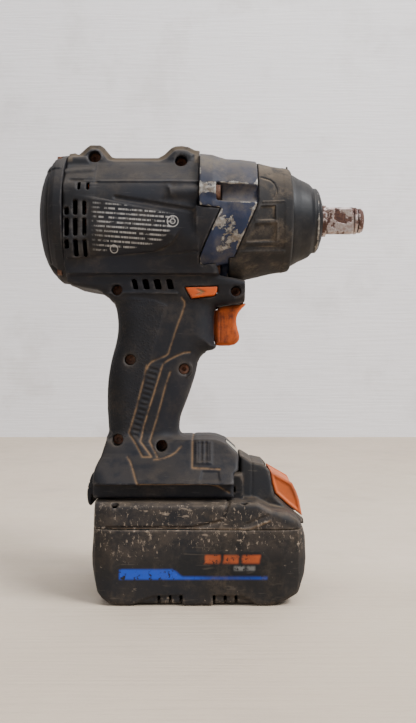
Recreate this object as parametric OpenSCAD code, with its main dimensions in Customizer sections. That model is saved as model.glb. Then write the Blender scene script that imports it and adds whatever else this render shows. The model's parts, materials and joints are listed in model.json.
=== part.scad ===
// Cordless impact wrench with a square drive, a motor in line with the hammer
// mechanism, a pistol grip and a ten cell slide-on battery.
// X points from the rear cap to the square drive, Y to the left and Z up.
// The tool stands on the flat underside of its battery.

/* [Battery] */
// Diameter of one round cell
cell_d = 18.2; // [15:0.1:22]
// Length of one round cell
cell_len = 65; // [54:0.5:78]
// Cells side by side in each of the two layers
cells_across = 5; // [4:1:6]
// Wall of the battery's case
pack_wall = 2.2; // [1.6:0.1:3]

/* [Housing] */
// Height of the open part of the grip
grip_span = 65.5; // [54:0.5:80]
// Width of the grip
grip_w = 34; // [28:0.5:42]
// Outer radius of the motor barrel
barrel_r = 29; // [24:0.1:35]
// Length of the motor barrel
barrel_len = 63.2; // [56:0.1:76]
// Depth of the rear cap
cap_len = 14.6; // [12:0.1:18]
// Wall of the moulded housing
wall = 2.5; // [2:0.1:3.5]

/* [Drive] */
// Square drive across its flats
drive_square = 12.7; // [9.5:0.1:16]
// Turn of the square at rest
square_turn = 7; // [0:1:45]
// Distance that the hammer can move back
hammer_travel = 8; // [5:0.5:9]
// Teeth on the motor pinion
sun_teeth = 12; // [12:1:12]
// Teeth on each planet gear
planet_teeth = 18; // [18:1:18]

/* [Controls] */
// Distance that the trigger can move back
trigger_travel = 5.5; // [3:0.5:6]
// Distance that the direction button moves each way
button_travel = 3; // [2:0.5:4]
// Distance that the battery latch can be pressed
latch_travel = 2; // [1:0.5:2.5]

/* [Fits] */
// Radial clearance of a shaft that turns in its bore
run_gap = 0.05; // [0.02:0.01:0.1]
// Gap between moulded parts that slide or lie against each other
slide_gap = 0.35; // [0.3:0.05:0.6]
// Backlash on each flank of a gear tooth
backlash = 0.05; // [0.03:0.01:0.1]

/* [View] */
// Sub-part to draw, or all

/* [Hidden] */
$fn = 64;

// Battery sizes
cell_pitch = cell_d + 0.2;
q = cell_pitch / 18.4;
pack_mid = -1.6;
pack_x0 = pack_mid - cells_across * cell_pitch / 2 - 3.9;
pack_x1 = pack_mid + cells_across * cell_pitch / 2 + 3.9;
pack_half = cell_len / 2 + 5.5;
pack_split = 34.2 * q;
pack_top = pack_wall + 0.8 + 2 * cell_pitch + 6.2;
cell_z = pack_wall + 0.8 + cell_pitch / 2;
tongue_half = 24;
tongue_x0 = -40;
tongue_z = pack_top + 11.4;
hump_x = 17.8;
// Front of the pack to the stations of the latch and its cheeks
latch_x = pack_x1 - 48.3;

// Housing heights
deck_z = pack_top + 7.6;
foot_z = pack_top + 27;
neck_z = foot_z + grip_span;
axis_z = neck_z + barrel_r + 12;
low = axis_z - barrel_r;
grip_half = grip_w / 2;
foot_front = 14.6;
foot_rear = pack_x0;

// Stations along the drive axis
case_x = -1.3;
nose_x = case_x + 59.5;
tip_x = nose_x + 20.9;
barrel_x = case_x - barrel_len;
rear_x = barrel_x - cap_len;

// Housing screws: X, Z, head radius
housing_screw_at = [
  [-51.8, axis_z + barrel_r - 0.4, 2.6], [-10.3, axis_z + barrel_r - 2.7, 2.6],
  [-40.6, low - 6.6, 2.2], [15.9, low - 7.1, 2.2],
  [-34.4, foot_z + 0.577 * grip_span, 2.3], [-8.8, foot_z + 0.51 * grip_span, 2.3],
  [-40.1, foot_z - 0.1, 2.3], [-19.2, foot_z - 2.7, 2.3]
];
boss_out = [9.5, 9.5, 14, 12, grip_half - 1.5, grip_half - 1.5, grip_half - 1.5, grip_half - 1.5];

// Hammer case screws, on a circle round the drive axis
lug_circle = barrel_r - 0.8;
lug_angle = [17, 61];

// Cap screws, on a circle round the drive axis
cap_circle = barrel_r + 0.3;
cap_angle = 62;

// Gear train
ring_teeth = sun_teeth + 2 * planet_teeth;
gear_m = 2 * (barrel_r - 9.8) / ring_teeth;
gear_angle = 25;
carrier_r = gear_m * (sun_teeth + planet_teeth) / 2;
pin_r = 2;
ring_r = barrel_r - 5.8;

// Motor
inner_r = barrel_r - wall;
stator_r = inner_r - 0.3;
stator_bore = 0.49 * barrel_r;
shaft_r = 3;
stator_x0 = barrel_x + 14.5;
stator_x1 = case_x - 26.7;

// Hammer mechanism
cam_r = 0.33 * barrel_r;
pilot_r = 0.17 * barrel_r;
hammer_r = barrel_r - 7.8;
cavity_r = hammer_r + 0.6;
ball_r = 2.4;
ball_x = 27.5;
anvil_r = 0.65 * drive_square;
bushing_r = anvil_r + 1.8;

// Trigger and switch
switch_x1 = -6.6;
trigger_half = 9;
press = [-0.64, 0, -0.768];

// ---- shape helpers ----

// Solid of revolution round the drive axis, from [radius, x] points
module turned(points) {
  translate([0, 0, axis_z])
    rotate([0, 90, 0])
      rotate_extrude()
        polygon(points);
}

// Cylinder along X, y and z measured from the drive axis
module rod_x(x0, x1, r, y = 0, z = 0) {
  translate([x0, y, axis_z + z])
    rotate([0, 90, 0])
      cylinder(h = x1 - x0, r = r);
}

// Plate across the drive axis, drawn looking along it
module plate_x(x0, x1) {
  translate([x0, 0, axis_z])
    rotate([90, 0, 90])
      linear_extrude(x1 - x0)
        children();
}

// Side outline drawn in X and Z, extruded from y0 to y1
module side(y0, y1) {
  translate([0, y1, 0])
    rotate([90, 0, 0])
      linear_extrude(y1 - y0)
        children();
}

// Front outline drawn in Y and Z, extruded from x0 to x1
module front(x0, x1) {
  translate([x0, 0, 0])
    rotate([90, 0, 90])
      linear_extrude(x1 - x0)
        children();
}

module box(x0, x1, y0, y1, z0, z1) {
  translate([x0, y0, z0])
    cube([x1 - x0, y1 - y0, z1 - z0]);
}

module pin_y(x, z, r, y0, y1) {
  translate([x, y1, z])
    rotate([90, 0, 0])
      cylinder(h = y1 - y0, r = r);
}

// Plan outline: a rectangle with round corners, rear radius first
module round_plan(x0, x1, half, r0, r1) {
  translate([x0 + r0, -half])
    square([x1 - x0 - r0 - r1, 2 * half]);
  translate([x0, r0 - half])
    square([x1 - x0 - r1, 2 * (half - r0)]);
  translate([x0 + r0, r1 - half])
    square([x1 - x0 - r0, 2 * (half - r1)]);
  for (s = [-1, 1]) {
    translate([x0 + r0, s * (half - r0)])
      circle(r0);
    translate([x1 - r1, s * (half - r1)])
      circle(r1);
  }
}

// Lengthwise rounding body whose front line leans forward by tilt
module leaning(x, z, tilt, len0, len1, x_back, half, r, flip) {
  translate([x, 0, z])
    rotate([0, tilt, 0])
      translate([0, 0, -len0])
        linear_extrude(len0 + len1)
          mirror([flip, 0])
            round_plan(-x_back, 0, half, 1, r);
}

// Helical spring standing on z = 0
function coil_point(i, j, r, wire, turns, len, per, sides) =
  let (t = 360 * i / per)
  let (a = 360 * j / sides)
  let (rr = r + wire * cos(a))
  [rr * cos(t), rr * sin(t), wire + (len - 2 * wire) * i / (per * turns) + wire * sin(a)];

module coil(r, wire, turns, len, per = 20, sides = 8) {
  n = per * turns;
  points = [
    for (i = [0 : n]) for (j = [0 : sides - 1]) coil_point(i, j, r, wire, turns, len, per, sides)
  ];
  skin = [
    for (i = [0 : n - 1]) for (j = [0 : sides - 1])
      let (k = (j + 1) % sides)
      [i * sides + j, i * sides + k, (i + 1) * sides + k, (i + 1) * sides + j]
  ];
  split_skin = [for (f = skin) each [[f[0], f[2], f[1]], [f[0], f[3], f[2]]]];
  first = [for (j = [0 : sides - 1]) j];
  last = [for (j = [0 : sides - 1]) n * sides + sides - 1 - j];
  polyhedron(points, concat(split_skin, [first, last]));
}

// Involute gear outline
function roll(base, r) = r <= base ? 0 : tan(acos(base / r)) * 180 / PI - acos(base / r);
function half_tooth(z, m, thin, r) =
  let (pitch = z * m / 2)
  let (base = pitch * cos(gear_angle))
  90 / z - thin / pitch * 180 / PI + roll(base, pitch) - roll(base, r);
function gear_points(z, m, thin, root, tip, steps = 5) = [
  for (i = [0 : z - 1]) each concat(
    [for (k = [0 : steps]) let (r = root + (tip - root) * k / steps)
      let (a = 360 * i / z - half_tooth(z, m, thin, r)) [r * cos(a), r * sin(a)]],
    [for (k = [steps : -1 : 0]) let (r = root + (tip - root) * k / steps)
      let (a = 360 * i / z + half_tooth(z, m, thin, r)) [r * cos(a), r * sin(a)]]
  )
];

module outer_gear(z) {
  pitch = z * gear_m / 2;
  polygon(gear_points(z, gear_m, backlash, pitch - 1.15 * gear_m, pitch + 0.9 * gear_m));
}

// ---- outlines shared by several parts ----

function grip_at(t) = foot_z + t * grip_span;

handle_points = [
  [-44, low + 9], [-44, low - 10.1], [-41.5, grip_at(0.963)], [-40.5, grip_at(0.83)],
  [-41.2, grip_at(0.72)], [-43.5, grip_at(0.586)], [-45.4, grip_at(0.4)], [-45.8, grip_at(0.25)],
  [-45.4, foot_z], [-47.5, foot_z - 7.6], [-47.5, deck_z + 2], [-8, deck_z + 2],
  [-11.8, foot_z], [-11.6, grip_at(0.08)], [-9.4, grip_at(0.218)], [-5.2, grip_at(0.394)],
  [-2.6, grip_at(0.557)], [-1.3, grip_at(0.615)], [6.1, grip_at(0.65)], [7.3, grip_at(0.678)],
  [5.8, grip_at(0.695)], [5.8, neck_z - 3], [8.6, neck_z - 0.6], [8.6, low + 9]
];

neck_points = [
  [barrel_x + 1.3, low + 9], [barrel_x + 1.3, low - 3.1], [barrel_x + 4, low - 4.5],
  [barrel_x + 14.5, low - 6.5], [-46.6, low - 8.1], [-43, low - 11.2], [8.6, low - 12.6],
  [22.2, low - 11.4], [24.8, low - 9.3], [27.8, low - 3.2], [22, low - 2.4], [14, low - 0.6],
  [8, low + 0.4], [5, low + 9]
];

foot_points = [
  [-45.4, foot_z], [-47.5, foot_z - 7.6], [-49.6, foot_z - 11.6], [foot_rear, foot_z - 16.5],
  [foot_rear, pack_top + 0.6], [foot_front, pack_top + 0.6], [foot_front, deck_z + 4.6],
  [16.6, deck_z + 6.5], [16.6, deck_z + 12.8], [11.5, foot_z - 1.9], [8, foot_z - 0.4], [7, foot_z]
];

// Half section of the foot: half width and height
foot_half = [
  [grip_half + 0.5, foot_z + 1], [grip_half + 3, foot_z], [grip_half + 6, foot_z - 6],
  [grip_half + 13, deck_z + 5], [grip_half + 16.5, deck_z + 0.6], [grip_half + 16.5, deck_z],
  [tongue_half + 3.4, deck_z - 0.4], [tongue_half + 3.4, pack_top + 0.6]
];

module mirrored_outline(points) {
  n = len(points);
  polygon(concat(points, [for (i = [n - 1 : -1 : 0]) [-points[i][0], points[i][1]]]));
}

// Radius of the hammer case at each station, with a clearance added
function case_outer(c) = [
  [0, case_x - 0.1], [barrel_r + 3.4 + c, case_x - 0.1],
  [barrel_r + 2.8 + c, 4.8], [barrel_r + 1.8 + c, 7.8], [barrel_r + 0.8 + c, 11.4],
  [barrel_r + 0.5 + c, 18.4], [barrel_r - 0.6 + c, 26.6], [0, 26.6]
];

// Rubber boot at each station, t inside its outer face
function boot_outer(t) = [
  [0, 12], [barrel_r + 0.6 - t, 12], [barrel_r + 0.4 - t, 20], [barrel_r - 1 - t, 26.4],
  [barrel_r - 2.7 - t, 33.3], [barrel_r - 3.6 - t, 38.6], [barrel_r - 4.6 - t, 42.2], [0, 42.2]
];

// Side region that the boot covers, moved forward by d
function boot_side(d) = [
  [26.2 + d, axis_z + barrel_r + 9], [25.6 + d, axis_z + 4.5], [24.9 + d, axis_z + 2],
  [14.8 + d, axis_z - 20.4], [12.2 + d, axis_z - 20.6], [12.2 + d, axis_z - barrel_r - 9],
  [48, axis_z - barrel_r - 9], [48, axis_z + barrel_r + 9]
];

// Tongue of the housing that reaches forward into the hammer case
function ear_side(d) = [
  [case_x - 2, axis_z + 1.7 + d], [8.1 + d, axis_z + 0.5 + d], [4.6 + d, axis_z - 7 - d],
  [case_x + d, axis_z - 20.1 - d], [case_x - 2, axis_z - 20.1 - d]
];

// ---- moulded housing ----

// Barrel, neck, grip and foot, g inside the outer face
module barrel_body(g) {
  turned([
    [0, barrel_x - g / 10], [barrel_r + 2.6 - g, barrel_x - g / 10], [barrel_r + 2.8 - g, barrel_x + 5],
    [barrel_r + 2 - g, barrel_x + 9], [barrel_r + 0.3 - g, barrel_x + 18], [barrel_r - g, barrel_x + 21],
    [barrel_r - g, case_x - 17], [barrel_r + 1.4 - g, case_x - 11], [barrel_r + 3.4 - g, case_x - 4],
    [barrel_r + 3.4 - g, case_x], [0, case_x]
  ]);
}

module neck_body(g) {
  intersection() {
    side(-19, 19)
      offset(delta = -g)
        polygon(neck_points);
    front(barrel_x, 30)
      offset(delta = -g)
        mirrored_outline([[18.5, low + 9], [18.5, low - 4], [16.5, low - 9], [13, low - 14]]);
  }
}

module grip_body(g) {
  intersection() {
    side(g - grip_half, grip_half - g)
      offset(delta = -g)
        polygon(handle_points);
    union() {
      translate([0, 0, grip_at(0.6)])
        linear_extrude(grip_span)
          round_plan(g - 46.6, 8 - g, grip_half - g, 12, 7);
      intersection() {
        leaning(-2 - g, grip_at(0.557), 16.1, 80, 20, 70, grip_half - g, 12, 0);
        leaning(g - 41.8, grip_at(0.83), 6.5, 100, 40, 70, grip_half - g, 13, 1);
      }
    }
  }
}

module foot_body(g) {
  intersection() {
    side(-40, 40)
      offset(delta = -g)
        polygon(foot_points);
    front(foot_rear - 1, 20)
      offset(delta = -g)
        mirrored_outline(foot_half);
    translate([0, 0, pack_top])
      linear_extrude(40)
        round_plan(foot_rear + g, 19 - g, grip_half + 16.5 - g, 12, 9);
  }
}

module screw_bosses() {
  for (i = [0 : len(housing_screw_at) - 1]) {
    p = housing_screw_at[i];
    pin_y(p[0], p[1], i == 0 ? 6.9 : i == 1 ? 8.8 : 4.3, -boss_out[i], boss_out[i]);
  }
}

// Nuts of plastic round the case screws, and the seats of the cap screws
module end_bosses() {
  for (s = [-1, 1]) {
    for (a = lug_angle) {
      up = a == lug_angle[0] ? 1 : -1;
      rod_x(case_x - 15, case_x, 4.3, s * lug_circle * cos(a), up * lug_circle * sin(a));
    }
    for (z = [-1, 1])
      rod_x(barrel_x, barrel_x + 12, 2.8, s * cap_circle * cos(cap_angle), z * cap_circle * sin(cap_angle));
  }
}

module vents() {
  for (s = [-1, 1]) {
    // rear outlet, three columns beside the fan
    for (c = [[1, 2.1, 0], [5, 2.1, 3.5], [9.3, 1.9, 3]]) {
      x = barrel_x + c[0];
      y0 = s > 0 ? 20 : -40;
      box(x, x + c[1], y0, y0 + 20, axis_z - 2, axis_z + 1.5 + c[2]);
      box(x, x + c[1], y0, y0 + 20, axis_z - 11.7, axis_z - 3.6);
      box(x, x + c[1], y0, y0 + 20, axis_z - 20, axis_z - 13.2);
    }
    // lower inlet, four slanted slots in the neck
    for (i = [0 : 3])
      translate([-33 + 5.6 * i, 0, low - 6.5])
        rotate([0, 20, 0])
          box(0, 2.6, s > 0 ? 12 : -30, s > 0 ? 30 : -12, 0, 5);
  }
}

module housing_cavity() {
  turned([
    [0, barrel_x - 1], [inner_r, barrel_x - 1], [inner_r, case_x - 12.2],
    [barrel_r - 3.2, case_x - 12.2], [barrel_r - 3.2, case_x + 1], [0, case_x + 1]
  ]);
  difference() {
    union() {
      intersection() {
        neck_body(wall);
        box(barrel_x, case_x - 1, -30, 30, low - 30, axis_z - 15);
      }
      grip_body(wall);
    }
    box(case_x - 1, 40, -30, 30, neck_z + 1.2, axis_z + 9);
  }
  // room over the battery's tongue, for the terminals and the electronics
  intersection() {
    foot_body(wall);
    box(-60, 30, -40, 40, tongue_z + 2.6, foot_z + 5);
  }
}

// Everything that is cut from both halves after the bosses are added
module housing_cuts() {
  // hammer case and its skirt
  turned(case_outer(slide_gap));
  rod_x(case_x - 11.9, 30, barrel_r - 3.2);
  // battery tongue, open towards the front
  box(foot_rear + 3, 30, -tongue_half - 0.4, tongue_half + 0.4, pack_top, tongue_z + 0.4);
  // trigger opening
  box(-3, 12, -trigger_half - 0.3, trigger_half + 0.3, grip_at(0.678), neck_z - 1.2);
  // latch notch, open towards the front
  box(4, 30, -7, 7, tongue_z, tongue_z + 3.2);
  // way down for the terminals
  box(-34, -12, -17, 17, tongue_z, tongue_z + 4);
  // direction button
  side(-30, 30)
    offset(delta = 0.35)
      polygon(button_points());
  // lamp
  side(-7.4, 7.4)
    offset(delta = 0.3)
      polygon(lens_points);
  box(8.6, 11.8, -6.4, 6.4, deck_z + 7.2, foot_z - 4.4);
  vents();
  for (s = [-1, 1]) {
    for (a = lug_angle) {
      up = a == lug_angle[0] ? 1 : -1;
      rod_x(case_x - 14, case_x + 20, 1.75, s * lug_circle * cos(a), up * lug_circle * sin(a));
      rod_x(case_x, case_x + 16, 5.15, s * lug_circle * cos(a), up * lug_circle * sin(a));
    }
    for (z = [-1, 1])
      rod_x(barrel_x - 1, barrel_x + 11, 1.3, s * cap_circle * cos(cap_angle), z * cap_circle * sin(cap_angle));
  }
}

module housing_rails() {
  for (s = [-1, 1])
    box(
      foot_rear + 2.9, foot_front, s > 0 ? 21.4 : -tongue_half - 0.5, s > 0 ? tongue_half + 0.5 : -21.4,
      pack_top + 3.4, pack_top + 5.2
    );
}

module housing_ears() {
  difference() {
    intersection() {
      side(-40, 40)
        polygon(ear_side(0));
      turned([[0, case_x - 2], [barrel_r + 3.2, case_x - 2], [barrel_r + 2, 9], [0, 9]]);
    }
    rod_x(-10, 20, barrel_r - 1.1);
  }
}

module housing_shell() {
  difference() {
    union() {
      difference() {
        union() {
          barrel_body(0);
          neck_body(0);
          grip_body(0);
          foot_body(0);
          screw_bosses();
        }
        housing_cavity();
      }
      intersection() {
        screw_bosses();
        union() {
          barrel_body(0.5);
          neck_body(0.5);
          grip_body(0.5);
          foot_body(0.5);
        }
      }
      intersection() {
        end_bosses();
        union() {
          barrel_body(0.5);
          neck_body(0.5);
        }
      }
    }
    housing_cuts();
  }
  housing_rails();
  housing_ears();
}

// Screw holes: a head seat on the right, a plain hole, and a blind hole on the left
module housing_screw_holes() {
  for (i = [0 : len(housing_screw_at) - 1]) {
    p = housing_screw_at[i];
    pin_y(p[0], p[1], p[2] + 0.3, -30, 3 - boss_out[i]);
    pin_y(p[0], p[1], 1.6, 2 - boss_out[i], 0.5);
    pin_y(p[0], p[1], 1.55, -1, boss_out[i] - 1.9);
  }
}

module half_housing(s) {
  intersection() {
    difference() {
      housing_shell();
      housing_screw_holes();
      foot_bumper_space();
      motor_space();
    }
    box(-90, 60, s > 0 ? 0 : -60, s > 0 ? 60 : 0, 0, axis_z + 60);
  }
}

// Bore for the motor and the gear plate, clear of every boss
module motor_space() {
  rod_x(barrel_x - 1, case_x - 11, inner_r - 0.02);
}

module foot_bumper_space() {
  box(foot_rear - 5, foot_rear + 3.4, -15.2, 15.2, pack_top, deck_z + 4.3);
}

module right_housing() {
  color([0.13, 0.14, 0.18])
    half_housing(-1);
}

module left_housing() {
  color([0.15, 0.16, 0.2])
    half_housing(1);
}

module housing_screws() {
  color([0.45, 0.35, 0.3])
    for (i = [0 : len(housing_screw_at) - 1]) {
      p = housing_screw_at[i];
      difference() {
        union() {
          pin_y(p[0], p[1], p[2], 1 - boss_out[i], 3 - boss_out[i]);
          pin_y(p[0], p[1], 1.5, 2.5 - boss_out[i], boss_out[i] - 2.2);
        }
        translate([p[0], 2.2 - boss_out[i], p[1]])
          rotate([90, 0, 0])
            cylinder(h = 3, r = 1.2, $fn = 6);
      }
    }
}

// Rounded cap that closes the rear of the barrel and carries the rear bearing
module rear_cap() {
  k = cap_len / 14.6;
  b = barrel_r;
  color([0.16, 0.17, 0.2])
    difference() {
      union() {
        difference() {
          turned([
            [0, rear_x], [b - 19.2, rear_x + 0.4 * k], [b - 13.7, rear_x + 1.6 * k],
            [b - 9.1, rear_x + 2.6 * k], [b - 5.6, rear_x + 4.1 * k], [b - 2.8, rear_x + 5.9 * k],
            [b, rear_x + 8.3 * k], [b + 2.2, rear_x + 10.7 * k], [b + 2.5, barrel_x - 0.05],
            [0, barrel_x - 0.05]
          ]);
          turned([
            [0, rear_x + 2.5], [b - 17, rear_x + 3], [b - 8, rear_x + 5.8 * k], [b - 3, rear_x + 9 * k],
            [inner_r, rear_x + 11 * k], [inner_r, barrel_x], [0, barrel_x]
          ]);
        }
        rod_x(rear_x + 1.5, barrel_x - 5, 12);
        intersection() {
          for (s = [-1, 1])
            for (z = [-1, 1])
              rod_x(rear_x + 2, barrel_x - 0.05, 3.6, s * cap_circle * cos(cap_angle), z * cap_circle * sin(cap_angle));
          turned([
            [0, rear_x + 1], [b - 13.7, rear_x + 3], [b - 6.5, rear_x + 6.5], [b + 1, barrel_x - 4],
            [b + 1, barrel_x - 0.05], [0, barrel_x - 0.05]
          ]);
        }
      }
      rod_x(barrel_x - 11.1, barrel_x, 9.53);
      rod_x(barrel_x - 8.5, barrel_x, 8.4);
      for (s = [-1, 1])
        for (z = [-1, 1]) {
          rod_x(rear_x, barrel_x, 1.6, s * cap_circle * cos(cap_angle), z * cap_circle * sin(cap_angle));
          rod_x(rear_x - 1, barrel_x - 2.5, 2.65, s * cap_circle * cos(cap_angle), z * cap_circle * sin(cap_angle));
        }
    }
}

module cap_screws() {
  color([0.4, 0.35, 0.32])
    for (s = [-1, 1])
      for (z = [-1, 1]) {
        y = s * cap_circle * cos(cap_angle);
        h = z * cap_circle * sin(cap_angle);
        difference() {
          union() {
            rod_x(barrel_x - 4.5, barrel_x - 2.5, 2.5, y, h);
            rod_x(barrel_x - 3, barrel_x + 9, 1.25, y, h);
          }
          translate([barrel_x - 4.7, y, axis_z + h])
            rotate([0, 90, 0])
              cylinder(h = 1.6, r = 1.3, $fn = 6);
        }
      }
}

// Soft corner block on the back of the foot
module foot_bumper() {
  z0 = pack_top - 5.1;
  color([0.12, 0.12, 0.14])
    difference() {
      side(-15, 15)
        polygon([
          [foot_rear + 1.4, z0 + 5.9], [foot_rear - 1.4, z0 + 0.2], [foot_rear - 3.6, z0 + 1.4],
          [foot_rear - 3.8, z0 + 4.7], [foot_rear - 3.6, z0 + 7.7], [foot_rear - 2.6, z0 + 12.2],
          [foot_rear - 1, z0 + 16], [foot_rear + 0.4, z0 + 16.2], [foot_rear + 3.2, z0 + 16.2],
          [foot_rear + 3.2, z0 + 5.9]
        ]);
      box(foot_rear - 1.4, 0, -16, 16, z0 - 1, z0 + 5.9);
      for (s = [-1, 1])
        translate([foot_rear - 5.2, s * 15.5, z0])
          rotate([0, 0, 45])
            box(-3, 3, -3, 3, -1, 20);
    }
}

// ---- hammer case and boot ----

module lug_rods(x0, x1, r) {
  for (s = [-1, 1])
    for (a = lug_angle) {
      up = a == lug_angle[0] ? 1 : -1;
      rod_x(x0, x1, r, s * lug_circle * cos(a), up * lug_circle * sin(a));
    }
}

module case_core(g) {
  turned([
    [0, case_x], [barrel_r - 1.5 + g, case_x], [barrel_r - 1.5 + g, 20], [barrel_r - 3.1 + g, 26.4],
    [barrel_r - 4.8 + g, 33.3], [barrel_r - 5.7 + g, 38.6], [barrel_r - 6.7 + g, 42.4], [0, 42.4]
  ]);
}

module hammer_case() {
  b = barrel_r;
  lip = anvil_r + 7.5;
  color([0.24, 0.28, 0.4])
    difference() {
      union() {
        difference() {
          turned([
            [0, case_x], [b + 3.4, case_x], [b + 2.8, 4.8], [b + 1.8, 7.8], [b + 0.8, 11.4],
            [b + 0.5, 18.4], [b - 0.6, 26.6], [0, 26.6]
          ]);
          side(-60, 60)
            polygon(boot_side(0));
          // troughs that let a driver reach the screws
          lug_rods(6.2, 40, 4.25);
          // seats for the tongues of the housing
          side(-60, 60)
            polygon(ear_side(slide_gap));
        }
        difference() {
          turned([
            [0, case_x], [b - 1.5, case_x], [b - 1.5, 20], [b - 3.1, 26.4], [b - 4.8, 33.3],
            [b - 5.7, 38.6], [b - 6.6, 42.4], [b - 6.8, 43.4], [b - 9, 47], [b - 11, 52],
            [lip + 0.3, 53.8], [lip, 55.5], [lip - 2.5, 57], [lip - 5.2, nose_x - 0.2],
            [lip - 5.6, nose_x], [0, nose_x]
          ]);
          lug_rods(6.2, 60, 4.25);
        }
        lug_rods(case_x, 6.2, 4.8);
        rod_x(case_x - 11.7, case_x + 1, b - 3.5);
      }
      // hammer cavity, ring gear seat and bushing bore
      turned([
        [0, -20], [ring_r + 0.2, -20], [ring_r + 0.2, case_x - 3], [cavity_r, case_x - 3],
        [cavity_r, 34], [cavity_r - 1.2, 41], [0, 41]
      ]);
      rod_x(40, 57, bushing_r + 0.02);
      rod_x(40, 70, anvil_r + 0.35);
      for (i = [0 : 2])
        translate([0, 0, axis_z])
          rotate([120 * i + 60, 0, 0])
            box(case_x - 12, case_x - 2.4, -2.2, 2.2, ring_r - 2, ring_r + 1.1);
      lug_rods(case_x - 1, 8, 2.15);
      // room for the upper front housing screw
      pin_y(housing_screw_at[1][0], housing_screw_at[1][1], 1.8, -20, 20);
      pin_y(housing_screw_at[1][0], housing_screw_at[1][1], 2.9, -20, 3.2 - boss_out[1]);
    }
}

module case_screws() {
  color([0.6, 0.58, 0.56])
    for (s = [-1, 1])
      for (a = lug_angle) {
        y = s * lug_circle * cos(a);
        h = (a == lug_angle[0] ? 1 : -1) * lug_circle * sin(a);
        difference() {
          union() {
            rod_x(6.25, 8.3, 3.7, y, h);
            rod_x(case_x - 12, 7, 1.7, y, h);
          }
          translate([7, y, axis_z + h])
            rotate([0, 90, 0])
              cylinder(h = 2, r = 1.6, $fn = 6);
        }
      }
}

module front_boot() {
  color([0.36, 0.34, 0.32])
    difference() {
      intersection() {
        turned(boot_outer(0));
        side(-60, 60)
          polygon(boot_side(0.25));
      }
      case_core(0.1);
      // raised block grip: shallow scallops round the rim
      for (i = [0 : 11])
        translate([0, 0, axis_z])
          rotate([30 * i + 15, 0, 0])
            translate([29, 0, barrel_r + 0.6])
              rotate([0, 96, 0])
                cylinder(h = 9, r = 2);
    }
}

module anvil_bushing() {
  color([0.72, 0.55, 0.3])
    turned([
      [anvil_r + run_gap, 41.2], [bushing_r, 41.2], [bushing_r, 56.9], [anvil_r + run_gap, 56.9]
    ]);
}

module anvil_washer() {
  color([0.75, 0.75, 0.76])
    turned([
      [bushing_r + 0.5, 39.9], [cavity_r - 2.2, 39.9], [cavity_r - 2.2, 40.9], [bushing_r + 0.5, 40.9]
    ]);
}

// ---- hammer mechanism ----

// Sector with its centre line at angle a, drawn looking along the drive axis
module sector(r, a, width) {
  intersection() {
    circle(r);
    rotate(a)
      polygon([
        [0, 0], [2 * r * cos(width / 2), -2 * r * sin(width / 2)],
        [2 * r * cos(width / 2), 2 * r * sin(width / 2)]
      ]);
  }
}

module anvil() {
  neck = drive_square * 0.35;
  color([0.5, 0.44, 0.42]) {
    difference() {
      union() {
        rod_x(32.4, nose_x + 0.1, anvil_r);
        plate_x(32.4, 39.6)
          union() {
            sector(cavity_r - 2, 90, 50);
            sector(cavity_r - 2, 270, 50);
          }
        rod_x(nose_x, nose_x + 2.3, anvil_r - 0.55);
        intersection() {
          plate_x(nose_x + 2.3, tip_x - 5.4)
            rotate(square_turn)
              square(drive_square, center = true);
          turned([
            [0, nose_x + 2], [anvil_r - 0.6, nose_x + 2], [anvil_r + 0.05, nose_x + 3.2],
            [anvil_r + 0.05, tip_x - 6.4], [anvil_r - 0.8, tip_x - 5], [0, tip_x - 5]
          ]);
        }
        turned([
          [0, tip_x - 5.5], [neck, tip_x - 5.5], [neck, tip_x - 2.6], [neck + 1.5, tip_x - 2.6],
          [neck + 1.6, tip_x - 1.4], [neck + 0.8, tip_x - 0.3], [neck, tip_x], [0, tip_x]
        ]);
      }
      rod_x(32, 44, pilot_r + run_gap);
    }
  }
}

module friction_ring() {
  neck = drive_square * 0.35;
  color([0.3, 0.28, 0.27])
    difference() {
      turned([
        [neck + 0.95, tip_x - 4.9], [neck + 1.7, tip_x - 4.9], [neck + 2.1, tip_x - 4.5],
        [neck + 2.1, tip_x - 3.6], [neck + 1.7, tip_x - 3.2], [neck + 0.95, tip_x - 3.2]
      ]);
      translate([0, 0, axis_z])
        rotate([square_turn, 0, 0])
          box(tip_x - 6, tip_x, -0.9, 0.9, 0, 12);
    }
}

module o_ring() {
  neck = drive_square * 0.35;
  color([0.1, 0.1, 0.1])
    translate([tip_x - 4.05, 0, axis_z])
      rotate([0, 90, 0])
        rotate_extrude()
          translate([neck + 0.46, 0])
            circle(0.4, $fn = 24);
}

module hammer() {
  color([0.42, 0.42, 0.45])
    difference() {
      union() {
        turned([
          [0, 10], [hammer_r - 1, 10], [hammer_r, 11], [hammer_r, 31], [hammer_r - 1, 32], [0, 32]
        ]);
        plate_x(31.5, 37.8)
          difference() {
            union() {
              sector(cavity_r - 2.2, 0, 56);
              sector(cavity_r - 2.2, 180, 56);
            }
            circle(anvil_r + 1.2);
          }
      }
      rod_x(0, 40, cam_r + run_gap);
      // spring pocket
      turned([[cam_r + 2.2, 9], [hammer_r - 2.8, 9], [hammer_r - 2.8, 24], [cam_r + 2.2, 24]]);
      // ball grooves, open towards the front
      for (s = [-1, 1]) {
        translate([ball_x, 0, axis_z + s * cam_r])
          sphere(r = ball_r + run_gap);
        rod_x(ball_x, 33, ball_r + run_gap, 0, s * cam_r);
      }
    }
}

module hammer_spring() {
  color([0.55, 0.56, 0.6])
    translate([0.1, 0, axis_z])
      rotate([0, 90, 0])
        coil((cam_r + hammer_r) / 2 - 0.3, 1.7, 5, 23.8);
}

module spring_washer() {
  color([0.7, 0.7, 0.72])
    turned([[cam_r + 0.3, -1], [hammer_r - 3, -1], [hammer_r - 3, 0], [cam_r + 0.3, 0]]);
}

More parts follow.
